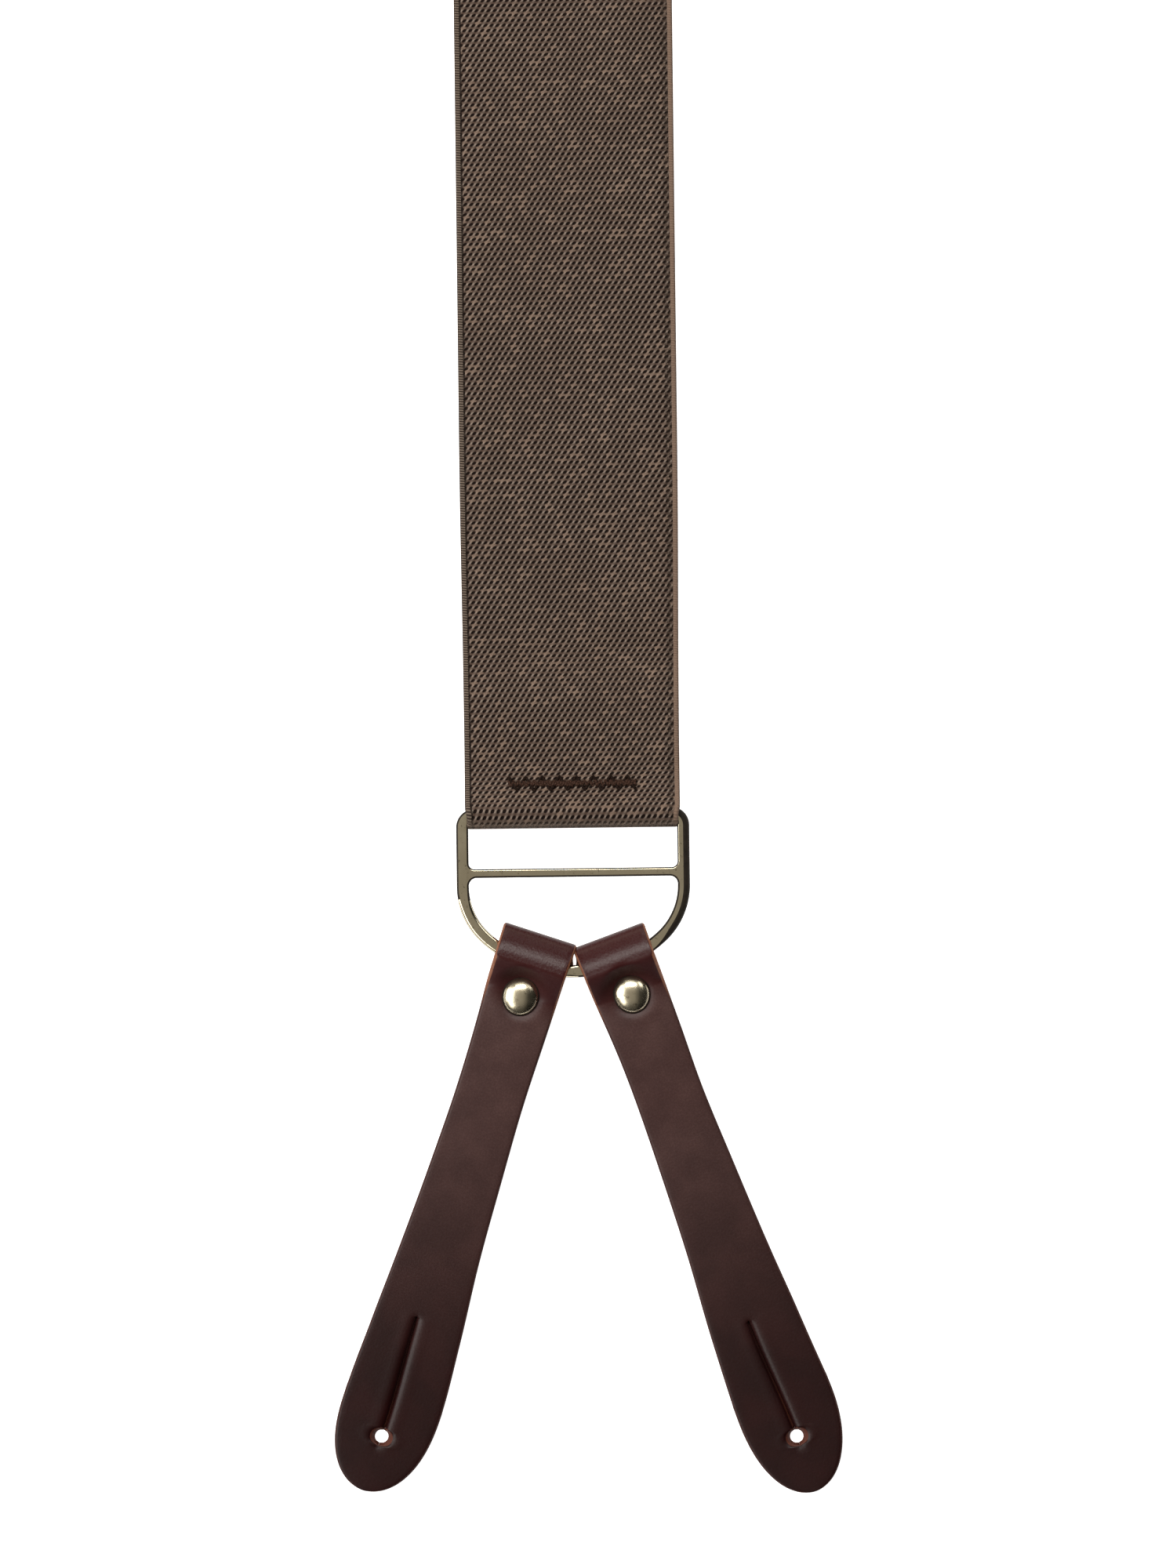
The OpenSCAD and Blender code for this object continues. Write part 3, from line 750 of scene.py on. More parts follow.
def shoulder_webbing(f):
    """From its flap behind the ring, over the ring's side, along, and round the D-ring's bar."""
    middle, d, centre, sign = shoulder_frame(f)
    nrm = np.array([-d[1], d[0]]) * sign
    run_z = RUN_Z + WEB_T / 2

    def crossing(y):
        """Where the strap's line at offset y meets the bowed wire, gathered between corners."""
        gathered = y * SIDE_GATHER
        lo, hi = np.full(y.shape, -40.0), np.full(y.shape, 60.0)
        for _ in range(40):
            x = (lo + hi) / 2
            p = middle + x[..., None] * d + gathered[..., None] * nrm
            inside = np.linalg.norm(p - centre, axis=-1) < SIDE_BOW_R - 0.4
            hi = np.where(inside, x, hi)
            lo = np.where(inside, lo, x)
        return middle + hi[..., None] * d + gathered[..., None] * nrm

    rows = [("flap", k) for k in np.linspace(1, 0, 12)]
    rows += [("wrap", a) for a in np.arange(-75.0, 76.0, 15.0)]
    rows += [("near", k) for k in np.linspace(0, 1, 26)]
    rows += [("run", x) for x in np.linspace(SIDE_REACH + 4, FRONT_LEN - 14, 150)]
    a = np.radians(np.arange(-78.0, 110.0, 12.0))
    wrap = np.stack([WRAP_R * np.cos(a), DEE_Z + WRAP_R * np.sin(a)], 1)
    tail_z = TAIL_Z + WEB_T / 2
    end = np.vstack([[(x, run_z) for x in np.linspace(-12, -4.6, 9)],
                     curve((-4.6, run_z), (-2.2, run_z - 0.35), wrap[0], 7)[1:-1],
                     wrap,
                     curve(wrap[-1], (-4.5, tail_z), (-9.9, tail_z + 0.02), 13)[1:]])
    rows += [("end", p) for p in end]

    def mid(y):
        out = np.zeros(y.shape + (3,))
        for i, (kind, val) in enumerate(rows):
            if kind in ("flap", "wrap", "near"):
                start = crossing(y[i])
                e = start - centre
                e /= np.linalg.norm(e, axis=-1)[:, None]
            if kind == "flap":
                under = RING_Z - SIDE_WRAP_R
                out[i, :, :2] = start + SIDE_FLAP_LEN * val * d
                out[i, :, 2] = under + (WEB_T / 2 - under) * ease(val * 1.6)
            elif kind == "wrap":
                t = math.radians(val)
                out[i, :, :2] = start + e * SIDE_WRAP_R * math.cos(t)
                out[i, :, 2] = RING_Z + SIDE_WRAP_R * math.sin(t)
            elif kind == "near":
                far = middle + SIDE_REACH * d + y[i][:, None] * nrm
                out[i, :, :2] = start + (far - start) * val
                gap = np.linalg.norm(out[i, :, :2] - start, axis=-1)
                top = RING_Z + SIDE_WRAP_R
                out[i, :, 2] = run_z + (top - run_z) * (1 - ease(gap / 16.0))
                level = run_z + 0.75 * (1 - ease((gap - 17.0) / 9.0))
                out[i, :, 2] = np.maximum(out[i, :, 2], level)
            elif kind == "run":
                out[i, :, :2] = middle + val * d + y[i][:, None] * nrm
                out[i, :, 2] = run_z
            else:
                out[i, :, :2] = middle + (FRONT_LEN + val[0]) * d + y[i][:, None] * nrm
                out[i, :, 2] = val[1]
        return out

    run = lengths(mid(np.zeros((len(rows), 1)))[:, 0])
    x_end = np.array([val[0] if kind == "end" else -99.0 for kind, val in rows])
    half = STRAP_W / 2 - 0.25 - 0.6 * ease((x_end + 1.2) / 1.8)
    obj = sheet_mesh(f"shoulder_webbing_{f}", mid, half, run, fold=x_end)
    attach(obj, f"shoulder_{f}")
    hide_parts(f"shoulder_strap_{f}", f"shoulder_ring_fold_{f}", f"end_fold_front_{f}")


def tail_webbing(f):
    """The strap's own end: from the D-ring's fold back over the strap to the adjuster's bar."""
    place = end_place[f"front_{f}"]
    z0 = TAIL_Z + WEB_T / 2
    bar = np.array([-ADJUSTER_BACK + TAIL_BAR_X, TAIL_Z + WEB_T + TAIL_BAR_R + 0.12])
    r = TAIL_BAR_R + 0.12 + WEB_T / 2
    flat = np.stack([np.linspace(-9.8, bar[0] + 1, 40), np.full(40, z0)], 1)
    a = np.radians(np.arange(-90.0, -271.0, -12.0))
    wrap = bar + r * np.stack([np.cos(a), np.sin(a)], 1)
    over = np.linspace(0, 1, 14)[1:]
    top = wrap[-1]
    back = np.stack([top[0] + 11.5 * over,
                     top[1] + (z0 + WEB_T - top[1]) * ease(over * 2.0)], 1)
    path = np.vstack([flat, wrap, back])
    run = lengths(path)

    def mid(y):
        return place(path[:, :1] + 0 * y, y, path[:, 1:] + 0 * y)

    half = np.full(len(path), TAIL_W / 2)
    half[path[:, 1] > z0 + 0.3] -= 0.3
    half = np.convolve(np.pad(half, 2, mode="edge"), np.ones(5) / 5, mode="valid")
    obj = sheet_mesh(f"tail_webbing_{f}", mid, half, run)
    start = place(-12.0, 0.0, z0) * MM
    end = place(-ADJUSTER_BACK + TAIL_BAR_X + 12.0, 0.0, z0) * MM
    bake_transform(obj)
    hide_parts(f"strap_tail_{f}")


# ---- Stitching ------------------------------------------------------------
THREAD_R = 0.23
FILL_SHARE = 0.42
FILL_PITCH = 0.42
TACK_SEED = 7
# Tacks lie this far behind a D-ring's bar, below the ring's base and past an adjuster's bar.
END_TACK_X = 4.9
BACK_TACK_Y = 15.0
TAIL_TACK_X = 8.0
# Where a shoulder's tack lies: its distance from the ring's wire and its height.
SHOULDER_TACK_X = 13.4
SHOULDER_TACK_Z = 3.25


def stitch_row(name, width, height, points, surface, body, node):
    """A bar tack: a wide zigzag over two dense narrow ones. surface(along, across) gives points."""
    rng = np.random.default_rng(TACK_SEED)
    tubes = []

    def zigzag(n, h, lift, radius, wobble, thread):
        i = np.arange(n + 1)
        line = np.stack([(i % 2 - 0.5) * h, -width / 2 + width * i / n], 1)
        line += rng.normal(0, wobble, line.shape)
        steps = 6
        dense = np.vstack([line[i] + (line[i + 1] - line[i]) * np.linspace(0, 1, steps + 1)[:-1, None]
                           for i in range(n)] + [line[-1:]])
        arch = np.sin(np.pi * (np.arange(len(dense)) % steps) / steps) ** 0.5
        pts = surface(dense[:, 0], dense[:, 1])
        pts[:, 2] += lift - 0.12 + 0.16 * arch
        tubes.append(tube(name, pts, radius, [thread], sides=8, flatten=0.8))

    dense_count = int(width / FILL_PITCH)
    zigzag(dense_count, height * FILL_SHARE, 0.16, THREAD_R * 0.8, 0.04, THREAD)
    zigzag(dense_count - 3, height * FILL_SHARE * 0.8, 0.22, THREAD_R * 0.8, 0.05, THREAD)
    # The wide zigzag is painted near-black as painted shadow.
    zigzag(points, height, 0.1, THREAD_R * 1.1, 0.03, THREAD_SHADOW)
    bpy.ops.object.select_all(action="DESELECT")
    for t in tubes:
        t.select_set(True)
    bpy.context.view_layer.objects.active = tubes[0]
    bpy.ops.object.join()
    obj = tubes[0]
    obj.name = name
    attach(obj, body)
    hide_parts(node)


def stitching():
    """A bar tack on every fold: both back legs' ends, the ring, the shoulders and the tails."""
    path = end_path(1.0)
    top = path[:int(np.argmax(path[:, 0])) - 2]
    for e in ("rear_left", "rear_right"):
        def on_end(x, y, place=end_place[e]):
            x = x - END_TACK_X
            return place(x, y, np.interp(x, top[:, 0], top[:, 1]) + WEB_T / 2 + 0.1)

        stitch_row(f"bar_tack_{e}", 21.0, 2.35, 15, on_end, "rear_straps", f"end_stitching_{e}")

    def on_back(x, y):
        return np.stack([base_mid[0] + 0.6 + y, base_mid[1] - BACK_TACK_Y + x,
                         0 * x + 2 * WEB_T + 0.05], 1)

    stitch_row("bar_tack_back", 21.5, 2.2, 15, on_back, "rear_straps", "rear_stitching_centre")
    for f in ("left", "right"):
        _, _, centre, sign = shoulder_frame(f)

        def on_fold(x, y, centre=centre, sign=sign):
            r = SIDE_BOW_R - SHOULDER_TACK_X + x
            a = np.radians(side_toward + 1.6 + (y + 3.0) * 0.56)
            return np.stack([centre[0] + sign * r * np.cos(a), centre[1] + r * np.sin(a),
                             0 * x + SHOULDER_TACK_Z], 1)

        stitch_row(f"bar_tack_shoulder_{f}", 18.0, 2.2, 12, on_fold, f"shoulder_{f}",
                   f"shoulder_stitching_{f}")

        def on_tail(x, y, place=end_place[f"front_{f}"]):
            along = -ADJUSTER_BACK + TAIL_BAR_X + TAIL_TACK_X + x
            return place(along, y, TAIL_Z + 2 * WEB_T + 0.1)

        stitch_row(f"bar_tack_tail_{f}", 24.0, 2.2, 17, on_tail, f"adjuster_{f}",
                   f"tail_stitching_{f}")


# ---- D-ring ---------------------------------------------------------------
BAND_HALF = 1.0
MID_BAR_HALF = 0.72
TOP_BAR_HALF = 0.85
DEE_HALF_H = 0.85
DEE_EDGE = 0.3
DEE_ROLL = 1.05
EDGE_STEPS = 6


def mirrored(side):
    return np.vstack([side, (side * [1, -1])[::-1]])


def edge_normals(loop, hole):
    """Unit steps from a loop's points into the metal, longer where the loop bends."""
    ahead = np.roll(loop, -1, 0) - loop
    ahead /= np.linalg.norm(ahead, axis=1)[:, None]
    back = np.roll(ahead, 1, 0)
    tangent = ahead + back
    tangent /= np.linalg.norm(tangent, axis=1)[:, None]
    area = np.sum(loop[:, 0] * np.roll(loop[:, 1], -1) - loop[:, 1] * np.roll(loop[:, 0], -1))
    left = np.stack([-tangent[:, 1], tangent[:, 0]], 1)
    inward = left if (area > 0) != hole else -left
    return inward / np.maximum(np.sum(tangent * ahead, axis=1), 0.5)[:, None]


def d_ring(e):
    """A flat band with a middle bar, its edges rounded, one side more than the other."""
    bow_c = np.array([DEE_L - BOW_R, 0.0])
    turn_y = DEE_W / 2 - SHOULDER_R
    turn_c = np.array([bow_c[0] + math.sqrt((BOW_R - SHOULDER_R) ** 2 - turn_y ** 2), turn_y])
    turn_a = heading(turn_c - bow_c)
    outer_y, inner_y = DEE_W / 2 + BAND_HALF, DEE_W / 2 - BAND_HALF
    corner_r, slot_r, window_r = 3.0, 0.95, 1.3
    outer = mirrored(np.vstack([
        arc(bow_c, BOW_R + BAND_HALF, 0, turn_a, 26)[1:-1],
        arc(turn_c, SHOULDER_R + BAND_HALF, turn_a, 90, 20),
        arc((corner_r - TOP_BAR_HALF, outer_y - corner_r), corner_r, 90, 180, 12)]))
    slot = mirrored(np.vstack([
        arc((MID_BAR_X - MID_BAR_HALF - slot_r, inner_y - slot_r), slot_r, 0, 90, 8),
        arc((TOP_BAR_HALF + slot_r, inner_y - slot_r), slot_r, 90, 180, 8)]))
    window = mirrored(np.vstack([
        arc(bow_c, BOW_R - BAND_HALF, 0, turn_a, 24)[1:-1],
        arc(turn_c, SHOULDER_R - BAND_HALF, turn_a, 90, 16),
        arc((MID_BAR_X + MID_BAR_HALF + window_r, inner_y - window_r), window_r, 90, 180, 10)]))
    a = np.radians(np.linspace(0, 90, EDGE_STEPS + 1))
    verts, faces, mats, flats, start = [], [], [], [], 0
    for loop, hole in ((outer, False), (slot, True), (window, True)):
        step = edge_normals(loop, hole)
        roll = ease((loop[:, 1] - 13.0) / 4.0) * ease((30.0 - loop[:, 0]) / 12.0)
        width = DEE_EDGE + (not hole) * (DEE_ROLL - DEE_EDGE) * roll
        bow = ease((loop[:, 0] - 12.5) / 4.0) * (loop[:, 1] < 0)
        width = np.maximum(width, DEE_EDGE + 0.3 * bow)
        tall = np.minimum(0.25 + width * 0.5, DEE_HALF_H - 0.05)
        rings = []
        for sign, order in ((-1, a[::-1]), (1, a)):
            for angle in order:
                p = loop + step * (width * (1 - math.cos(angle)))[:, None]
                z = sign * (DEE_HALF_H - tall + tall * math.sin(angle))
                rings.append(np.column_stack([p, z]))
        n = len(loop)
        index = start + np.arange(len(rings) * n).reshape(len(rings), n)
        faces += quads(np.hstack([index, index[:, :1]])).tolist()
        # The roundings are painted dark as painted shade and painted dark reflection, but for the
        # slot's lower edge and the bow's lower left.
        strip = np.arange(len(rings) - 1)[:, None]
        shiny = hole & (loop[:, 0] > 8.0) & (loop[:, 0] < MID_BAR_X)
        dark = strip <= 2 * EDGE_STEPS - shiny[None] - 4 * (bow[None] > 0.3)
        mats.append((dark * 1).ravel())
        verts.append(np.vstack(rings))
        flats.append((index[0], index[-1], rings[-1]))
        start += len(rings) * n
    shape = [[Vector((x, y, 0.0)) for x, y, _ in ring] for _, _, ring in flats]
    for level in (0, 1):
        numbers = np.concatenate([f[level] for f in flats])
        faces += [[int(numbers[k]) for k in t] for t in tessellate_polygon(shape)]
    local = np.vstack(verts)
    mats = np.concatenate(mats)
    mats = np.concatenate([mats, np.zeros(len(faces) - len(mats), int)])
    obj = new_object(f"dee_{e}", end_place[e](local[:, 0], local[:, 1], local[:, 2] + DEE_Z),
                     faces, [NICKEL, NICKEL_SHADE], face_material=mats)
    sharpen(tidy(obj), 40)
    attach(obj, f"dee_{e}")
    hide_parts(f"d_ring_{e}")


# ---- Button tabs ----------------------------------------------------------
# Half the width of a tab at distances s from the bow. The tip's own curve takes over at
# TIP_START, so the last keys only steer this one's slope there.
HALF_AT = ((-5.5, 6.3), (0.0, 6.15), (4.0, 6.1), (10.0, 5.9), (23.0, 5.65), (36.0, 6.0),
           (50.0, 6.6), (64.0, 7.6), (74.0, 8.2), (79.0, 8.2), (82.0, 7.4))
TIP_START = 76.0
TIP_HALF = 8.25
FLAP_S = 15.0
FLAP_T = 1.3
# The front layer comes down from the loop to FRONT_Z at REST_S, by the rivet, and to LOW_Z below.
REST_S = 5.6
FRONT_Z = 2.28
FLAP_Z = 0.72
LOW_Z = 0.78
BOW_Z = 3.1
CREST_H = 2.6
TAB_EDGE_R = 0.5
# Half the slit's width, and how far aside it comes out on the back, as the knife leaned.
SLIT_HALF = 0.16
KNIFE_LEAN = 0.3


def smooth_curve(keys, x):
    """A smooth curve through (x, value) keys."""
    keys = np.array(keys)
    slope = np.gradient(keys[:, 1], keys[:, 0])
    i = np.clip(np.searchsorted(keys[:, 0], x) - 1, 0, len(keys) - 2)
    h = keys[i + 1, 0] - keys[i, 0]
    t = np.clip((x - keys[i, 0]) / h, 0, 1)
    a = 2 * t ** 3 - 3 * t ** 2 + 1
    b = t ** 3 - 2 * t ** 2 + t
    c = -2 * t ** 3 + 3 * t ** 2
    e = t ** 3 - t ** 2
    return a * keys[i, 1] + b * h * slope[i] + c * keys[i + 1, 1] + e * h * slope[i + 1]


def tab_half(s, tip):
    """Half the width of a tab: HALF_AT's curve, then a blunt tip."""
    body = smooth_curve(HALF_AT, np.minimum(s, TIP_START))
    end = np.clip((s - TIP_START) / (tip - TIP_START), 0, 1)
    return np.where(s <= TIP_START, body, TIP_HALF * np.sqrt(1 - end ** 2.45))


def tab_path(loop_c, loop_a, tip, hole):
    """(s, z) of the leather's middle, from the flap's end round the bow and down to the tip.

    Also the number of the first point on the front layer.
    """
    flap = np.stack([np.linspace(FLAP_S, 0.0, 22), np.full(22, FLAP_Z)], 1)
    a = np.radians(np.arange(-84.0, -271.0, -7.0))
    upper = np.sin(a) > 0
    b = np.where(upper, CREST_H, BOW_Z - FLAP_Z)
    # Above the bow the loop leans towards the rivet and rises almost straight to its crest.
    lean = np.where(upper, 1.45, 0.0)
    power = np.where(upper, 1.32, 1.0)
    loop = np.stack([loop_c + lean - (loop_a + lean) * np.abs(np.cos(a)) ** power,
                     BOW_Z + b * np.sign(np.sin(a)) * np.abs(np.sin(a)) ** power], 1)
    loop[~upper, 0] = loop_c + loop_a * np.cos(a[~upper])
    top = loop[-1]
    down_s = np.linspace(top[0], REST_S, 30)[1:]
    share = (down_s - top[0]) / (REST_S - top[0])
    down = np.stack([down_s, FRONT_Z + (top[1] - FRONT_Z) * (1 - ease(share ** 0.95))], 1)
    s1 = np.arange(REST_S + 0.4, 31.8, 0.5)
    main = np.stack([s1, FRONT_Z - (FRONT_Z - LOW_Z) * ease((s1 - 8.5) / 23.0)], 1)
    s2 = np.concatenate([
        np.arange(32.2, hole - SLIT_LEN - 2, 1.2),
        hole - SLIT_LEN - 1 + np.linspace(0, 2, 9),
        np.arange(hole - SLIT_LEN + 1.6, hole - 2.2, 0.8),
        hole - 1.9 * np.cos(np.linspace(0, np.pi, 26)),
        np.linspace(hole + 2.2, tip - 3.2, 8),
        tip - 3.0 * (1 - np.sin(np.linspace(0.05, np.pi / 2, 14)))])
    s2 = np.unique(np.round(s2, 4))
    s2[-1] = tip - 0.01
    rest = np.stack([s2, np.full(len(s2), LOW_Z)], 1)
    return np.vstack([flap[:-1], loop, down, main, rest]), len(flap) - 1 + len(loop)


def button_tab(e, s, plus):
    """One leather tab. plus is whether it lies on the +y side of its end."""
    place = tab_place[(e, s)]
    loop_c, loop_a = (-1.0, 3.25) if plus else (-1.25, 3.45)
    hole = HOLE_S + (1.3 if plus else -0.45)
    tip = TAB_LEN + (1.2 if plus else -0.75)
    path, front = tab_path(loop_c, loop_a, tip, hole)
    sv, zv = path[:, 0], path[:, 1]
    n = len(path)
    on_front = np.arange(n) >= front
    half = tab_half(sv, tip) - np.where(on_front, 0.0, 0.3 * ease(sv / 3.0))
    # How far the middle swerves aside, and how much wider the tab is than the common curve.
    if plus:
        sway = smooth_curve(((-6, -0.08), (0, -0.05), (4, 0.0), (14, 0.2), (25, 0.13), (37, 0.15),
                             (48, 0.12), (58, 0.02), (69, -0.02), (80, 0.05), (93, -0.1)), sv)
        broad = smooth_curve(((-6, 0), (14, -0.04), (50, 0), (64, -0.05), (71, -0.15), (80, 0.05),
                              (93, 0.1)), sv)
    else:
        sway = smooth_curve(((-6, -0.3), (4, -0.32), (10, -0.17), (23, -0.05), (37, 0.04),
                             (50, 0.07), (60, 0.22), (69, 0.32), (76, 0.33), (84, 0.15),
                             (93, -0.05)), sv)
        broad = smooth_curve(((-6, 0), (10, 0.05), (25, 0.12), (40, 0.12), (60, 0.08), (69, 0),
                              (93, 0)), sv)
    half = half + broad * np.sqrt(np.clip((tip - sv) / 8.0, 0, 1))
    slit_from = hole - SLIT_LEN
    in_slit = on_front & (sv > slit_from) & (sv < hole + HOLE_R)
    throat = SLIT_HALF * np.sqrt(np.clip((sv - slit_from) / 2.0, 0, 1))
    disc = np.sqrt(np.clip(HOLE_R ** 2 - (sv - hole) ** 2, 0, None))
    gap = np.where(in_slit, np.where(sv < hole, np.maximum(throat, disc), disc), 0.0)
    # The flap is skived thin towards its end.
    thick = np.where(on_front, HIDE_T, FLAP_T)
    thick = thick * np.where(on_front | (sv < 11), 1.0, 1 - 0.6 * ease((sv - 11) / 4.0))

    t = np.gradient(path, axis=0)
    t /= np.linalg.norm(t, axis=1)[:, None]
    # The outer face is the upper one on the front layer.
    normal = np.stack([-t[:, 1], t[:, 0]], 1)
    if normal[-5, 1] < 0:
        normal = -normal
    inset, drop = rim(TAB_EDGE_R, 4)
    cols = 11

    low_disc = np.sqrt(np.clip(LOW_HOLE_R ** 2 - (sv - hole + 0.1) ** 2, 0, None))
    low_gap = np.where(in_slit, np.maximum(low_disc, np.minimum(gap, 0.004)), 0.0)
    slant = KNIFE_LEAN * ease((sv - slit_from) / 0.4) * ease((hole - HOLE_R - sv) / 0.5) * on_front
    outer_side = 1 if plus else -1
    # Between the two tabs the flap's raw edge shows beside the front layer.
    beside = 0.55 * bump_at(sv, -1.7, 0.9) * (~on_front & (zv < 3.0))
    bare = 1.0 + 0.7 * (1 - ease((sv - 2.0) / 8.0)) * on_front

    def strip(side, up):
        """Columns from the slit's edge to the tab's edge, on one side of the centre line."""
        g = (gap if up else low_gap + side * slant)[:, None]
        h = (half + (beside if side != outer_side else 0.0))[:, None]
        room = np.maximum(h - g, 0.02)
        wide = TAB_EDGE_R * (bare[:, None] if up and side == outer_side else 1.0)
        r_out = np.minimum(wide, room * 0.3)
        share = r_out / TAB_EDGE_R
        inner_share = np.where(gap[:, None] > 0.01, np.minimum(share, 1.0), 0.0)
        inner_down = drop[None] * inner_share
        grid = np.linspace(0, 1, cols)[None] ** 1.15
        start, stop = g + TAB_EDGE_R * inner_share, h - r_out
        y = np.hstack([g + inset[None] * inner_share, start + grid * (stop - start),
                       (h - inset[None] * share)[:, ::-1]])
        down = np.hstack([inner_down, np.zeros((n, cols)), (drop[None] * share)[:, ::-1]])
        return side * y, down

    front_rows = on_front[:, None]
    # The slit starts a little beside the middle and runs to the hole in it.
    aside = (-0.8 if plus else -0.55) * ease((sv[:, None] - 45.0) / 13.0) * ease(
        (hole - sv[:, None]) / 20.0)

    def surface(y, down, up):
        """Points of the outer (up) or the inner face."""
        ss = sv[:, None] + 0 * y
        beside_middle = aside * (1 - np.abs(y) / half[:, None]) * front_rows
        yy = y + sway[:, None] + beside_middle
        d = np.hypot(ss - RIVET_S, y)
        if up:
            lip = np.abs(y) - gap[:, None]
            open_here = (ease((ss - slit_from + 0.8) / 1.6) * ease((hole + 2.6 - ss) / 1.2))
            # The hide sinks softly into the slit and stands up again beside it.
            lift = -0.34 * open_here * bump_at(lip, 0.0, 0.55)
            lift += 0.06 * open_here * bump_at(lip, 1.5, 0.7)
            lift += 0.12 * bump_at(d, 4.4, 0.9) - 0.3 * (1 - ease((d - 2.4) / 1.6))
            # It is a little crowned across its width.
            lift += 0.12 * (1 - (y / half[:, None]) ** 2)
            lift = np.where(front_rows, lift * ease((ss - 0.5) / 3.5), 0.0)
        else:
            under = ~front_rows & (zv < 1.5)[:, None]
            lift = np.where(under, -0.5 * (1 - ease((d - 3.05) / 0.25)), 0.0)
        h = thick[:, None] / 2 - np.minimum(down, thick[:, None] / 2 - 0.05)
        h = h + lift
        sign = 1.0 if up else -1.0
        x = ss + sign * normal[:, :1] * h
        z = zv[:, None] + sign * normal[:, 1:] * h
        # The rivet presses the hide flat, and nothing hangs over its head.
        near = np.hypot(x - RIVET_S, y)
        pressed = (1 - ease((near - 2.75) / 2.7)) * front_rows * (ss > -1.0)
        z = z + pressed * (FRONT_Z + sign * h - z)
        return place(x, yy, z)

    index = {}
    total = 0
    verts, uvs, faces, mats = [], [], [], []
    # The outer face of the flap looks down, and normal follows it round the loop.
    for side in (-1, 1):
        for up in (True, False):
            y, down = strip(side, up)
            pts = surface(y, down, up)
            index[side, up] = total + np.arange(y.size).reshape(y.shape)
            total += y.size
            verts.append(pts.reshape(-1, 3))
            uvs.append(np.stack([y, sv[:, None] + 0 * y], -1).reshape(-1, 2))
            faces += quads(index[side, up]).tolist()
            width = pts.shape[1] - 1
            column = np.arange(width)[None] + 0 * np.arange(n - 1)[:, None]
            by_hole = (np.abs(sv[:-1] - hole) < HOLE_R + 0.25) & on_front[:-1]
            raw = (column >= width - 3) | (by_hole[:, None] & (column < 4))
            mats += (raw * 1).ravel().tolist()
        wall = quads(np.stack([index[side, True][:, -1], index[side, False][:, -1]], 1))
        faces += wall.tolist()
        mats += [1] * len(wall)
        for i in range(n - 1):
            if gap[i] > 0 or gap[i + 1] > 0:
                a, b = index[side, True], index[side, False]
                faces.append([a[i, 0], a[i + 1, 0], b[i + 1, 0], b[i, 0]])
                mats.append(1)
    for row in (0, -1):
        for side in (-1, 1):
            a, b = index[side, True][row], index[side, False][row]
            for k in range(len(a) - 1):
                faces.append([a[k], a[k + 1], b[k + 1], b[k]])
                mats.append(1)
    obj = new_object(f"tab_{e}_{s}", np.vstack(verts), faces, [LEATHER, LEATHER_EDGE],
                     np.vstack(uvs), mats)
    tidy(obj, merge=0.002)
    body = f"tab_{e}_{s}"
    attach(obj, body)
    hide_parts(f"button_tab_{e}_{s}")


# ---- Rivets ---------------------------------------------------------------
CAP_R = 2.95
CAP_H = 1.4
# The heads are a little longer along the tab than they are wide.
CAP_LONG = 1.07


def rivet(e, s, plus):
    """A domed cap with its post, and the flat washer in the tab's back."""
    place = tab_place[(e, s)]
    shift = 0.2 if plus else -0.3
    spot = Place(place.o - 0.15 * place.x + shift * place.y, place.x, place.y)
    base = FRONT_Z + HIDE_T / 2 - 0.1
    a = np.radians(np.linspace(90, 14, 22))
    dome = np.stack([CAP_R * np.cos(a), base + 0.1 + CAP_H * np.sin(a) ** 1.1], 1)
    foot = [(2.92, base + 0.4), (2.92, base + 0.26), (2.98, base + 0.2), (3.04, base + 0.12),
            (3.04, base), (2.98, base - 0.12), (1.0, base - 0.12), (1.0, 0.5)]
    profile = np.vstack([[[0.0, dome[0, 1]]], dome[1:], foot, [[0.0, 0.5]]])
    # From the head's lowest band on, the cap takes the dark material: a painted shadow line round the
    # head.
    cap = lathe(f"rivet_{e}_{s}", spot, RIVET_S, profile, [SATIN_NICKEL, NICKEL_SHADE],
                painted_shade_from=len(dome) - 2, long=CAP_LONG)
    sharpen(cap, 50)
    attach(cap, f"tab_{e}_{s}")
    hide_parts(f"rivet_cap_{e}_{s}")
    back = [(0.0, 0.02), (2.7, 0.02), (2.9, 0.08), (2.98, 0.2), (2.98, 0.42), (2.9, 0.48),
            (0.0, 0.48)]
    washer = lathe(f"rivet_washer_{e}_{s}", spot, RIVET_S, back, [NICKEL])
    sharpen(washer, 50)
    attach(washer, f"tab_{e}_{s}")
    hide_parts(f"rivet_back_{e}_{s}")


# ---- Adjusters ------------------------------------------------------------
def polished(node, name, body, width):
    """A copy of a CAD node's shape with its edges rounded off."""
    mesh = frame["nodes"][node].data.copy()
    obj = bpy.data.objects.new(name, mesh)
    show(obj)
    with editing(obj) as bm:
        bmesh.ops.remove_doubles(bm, verts=bm.verts, dist=0.001 * MM)
        bmesh.ops.dissolve_limit(bm, angle_limit=math.radians(4), verts=bm.verts, edges=bm.edges)
        bmesh.ops.recalc_face_normals(bm, faces=bm.faces)
        sharp = [e for e in bm.edges if len(e.link_faces) == 2
                 and e.calc_face_angle(0.0) > math.radians(30)]
        bmesh.ops.bevel(bm, geom=sharp, offset=width * MM, segments=2, profile=0.6,
                        affect="EDGES", clamp_overlap=True)
        bmesh.ops.triangulate(bm, faces=[f for f in bm.faces if len(f.verts) > 4])
    mesh.materials.clear()
    mesh.materials.append(SATIN_NICKEL)
    mesh.polygons.foreach_set("use_smooth", np.full(len(mesh.polygons), True))
    sharpen(obj, 28)
    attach(obj, body)
    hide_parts(node)


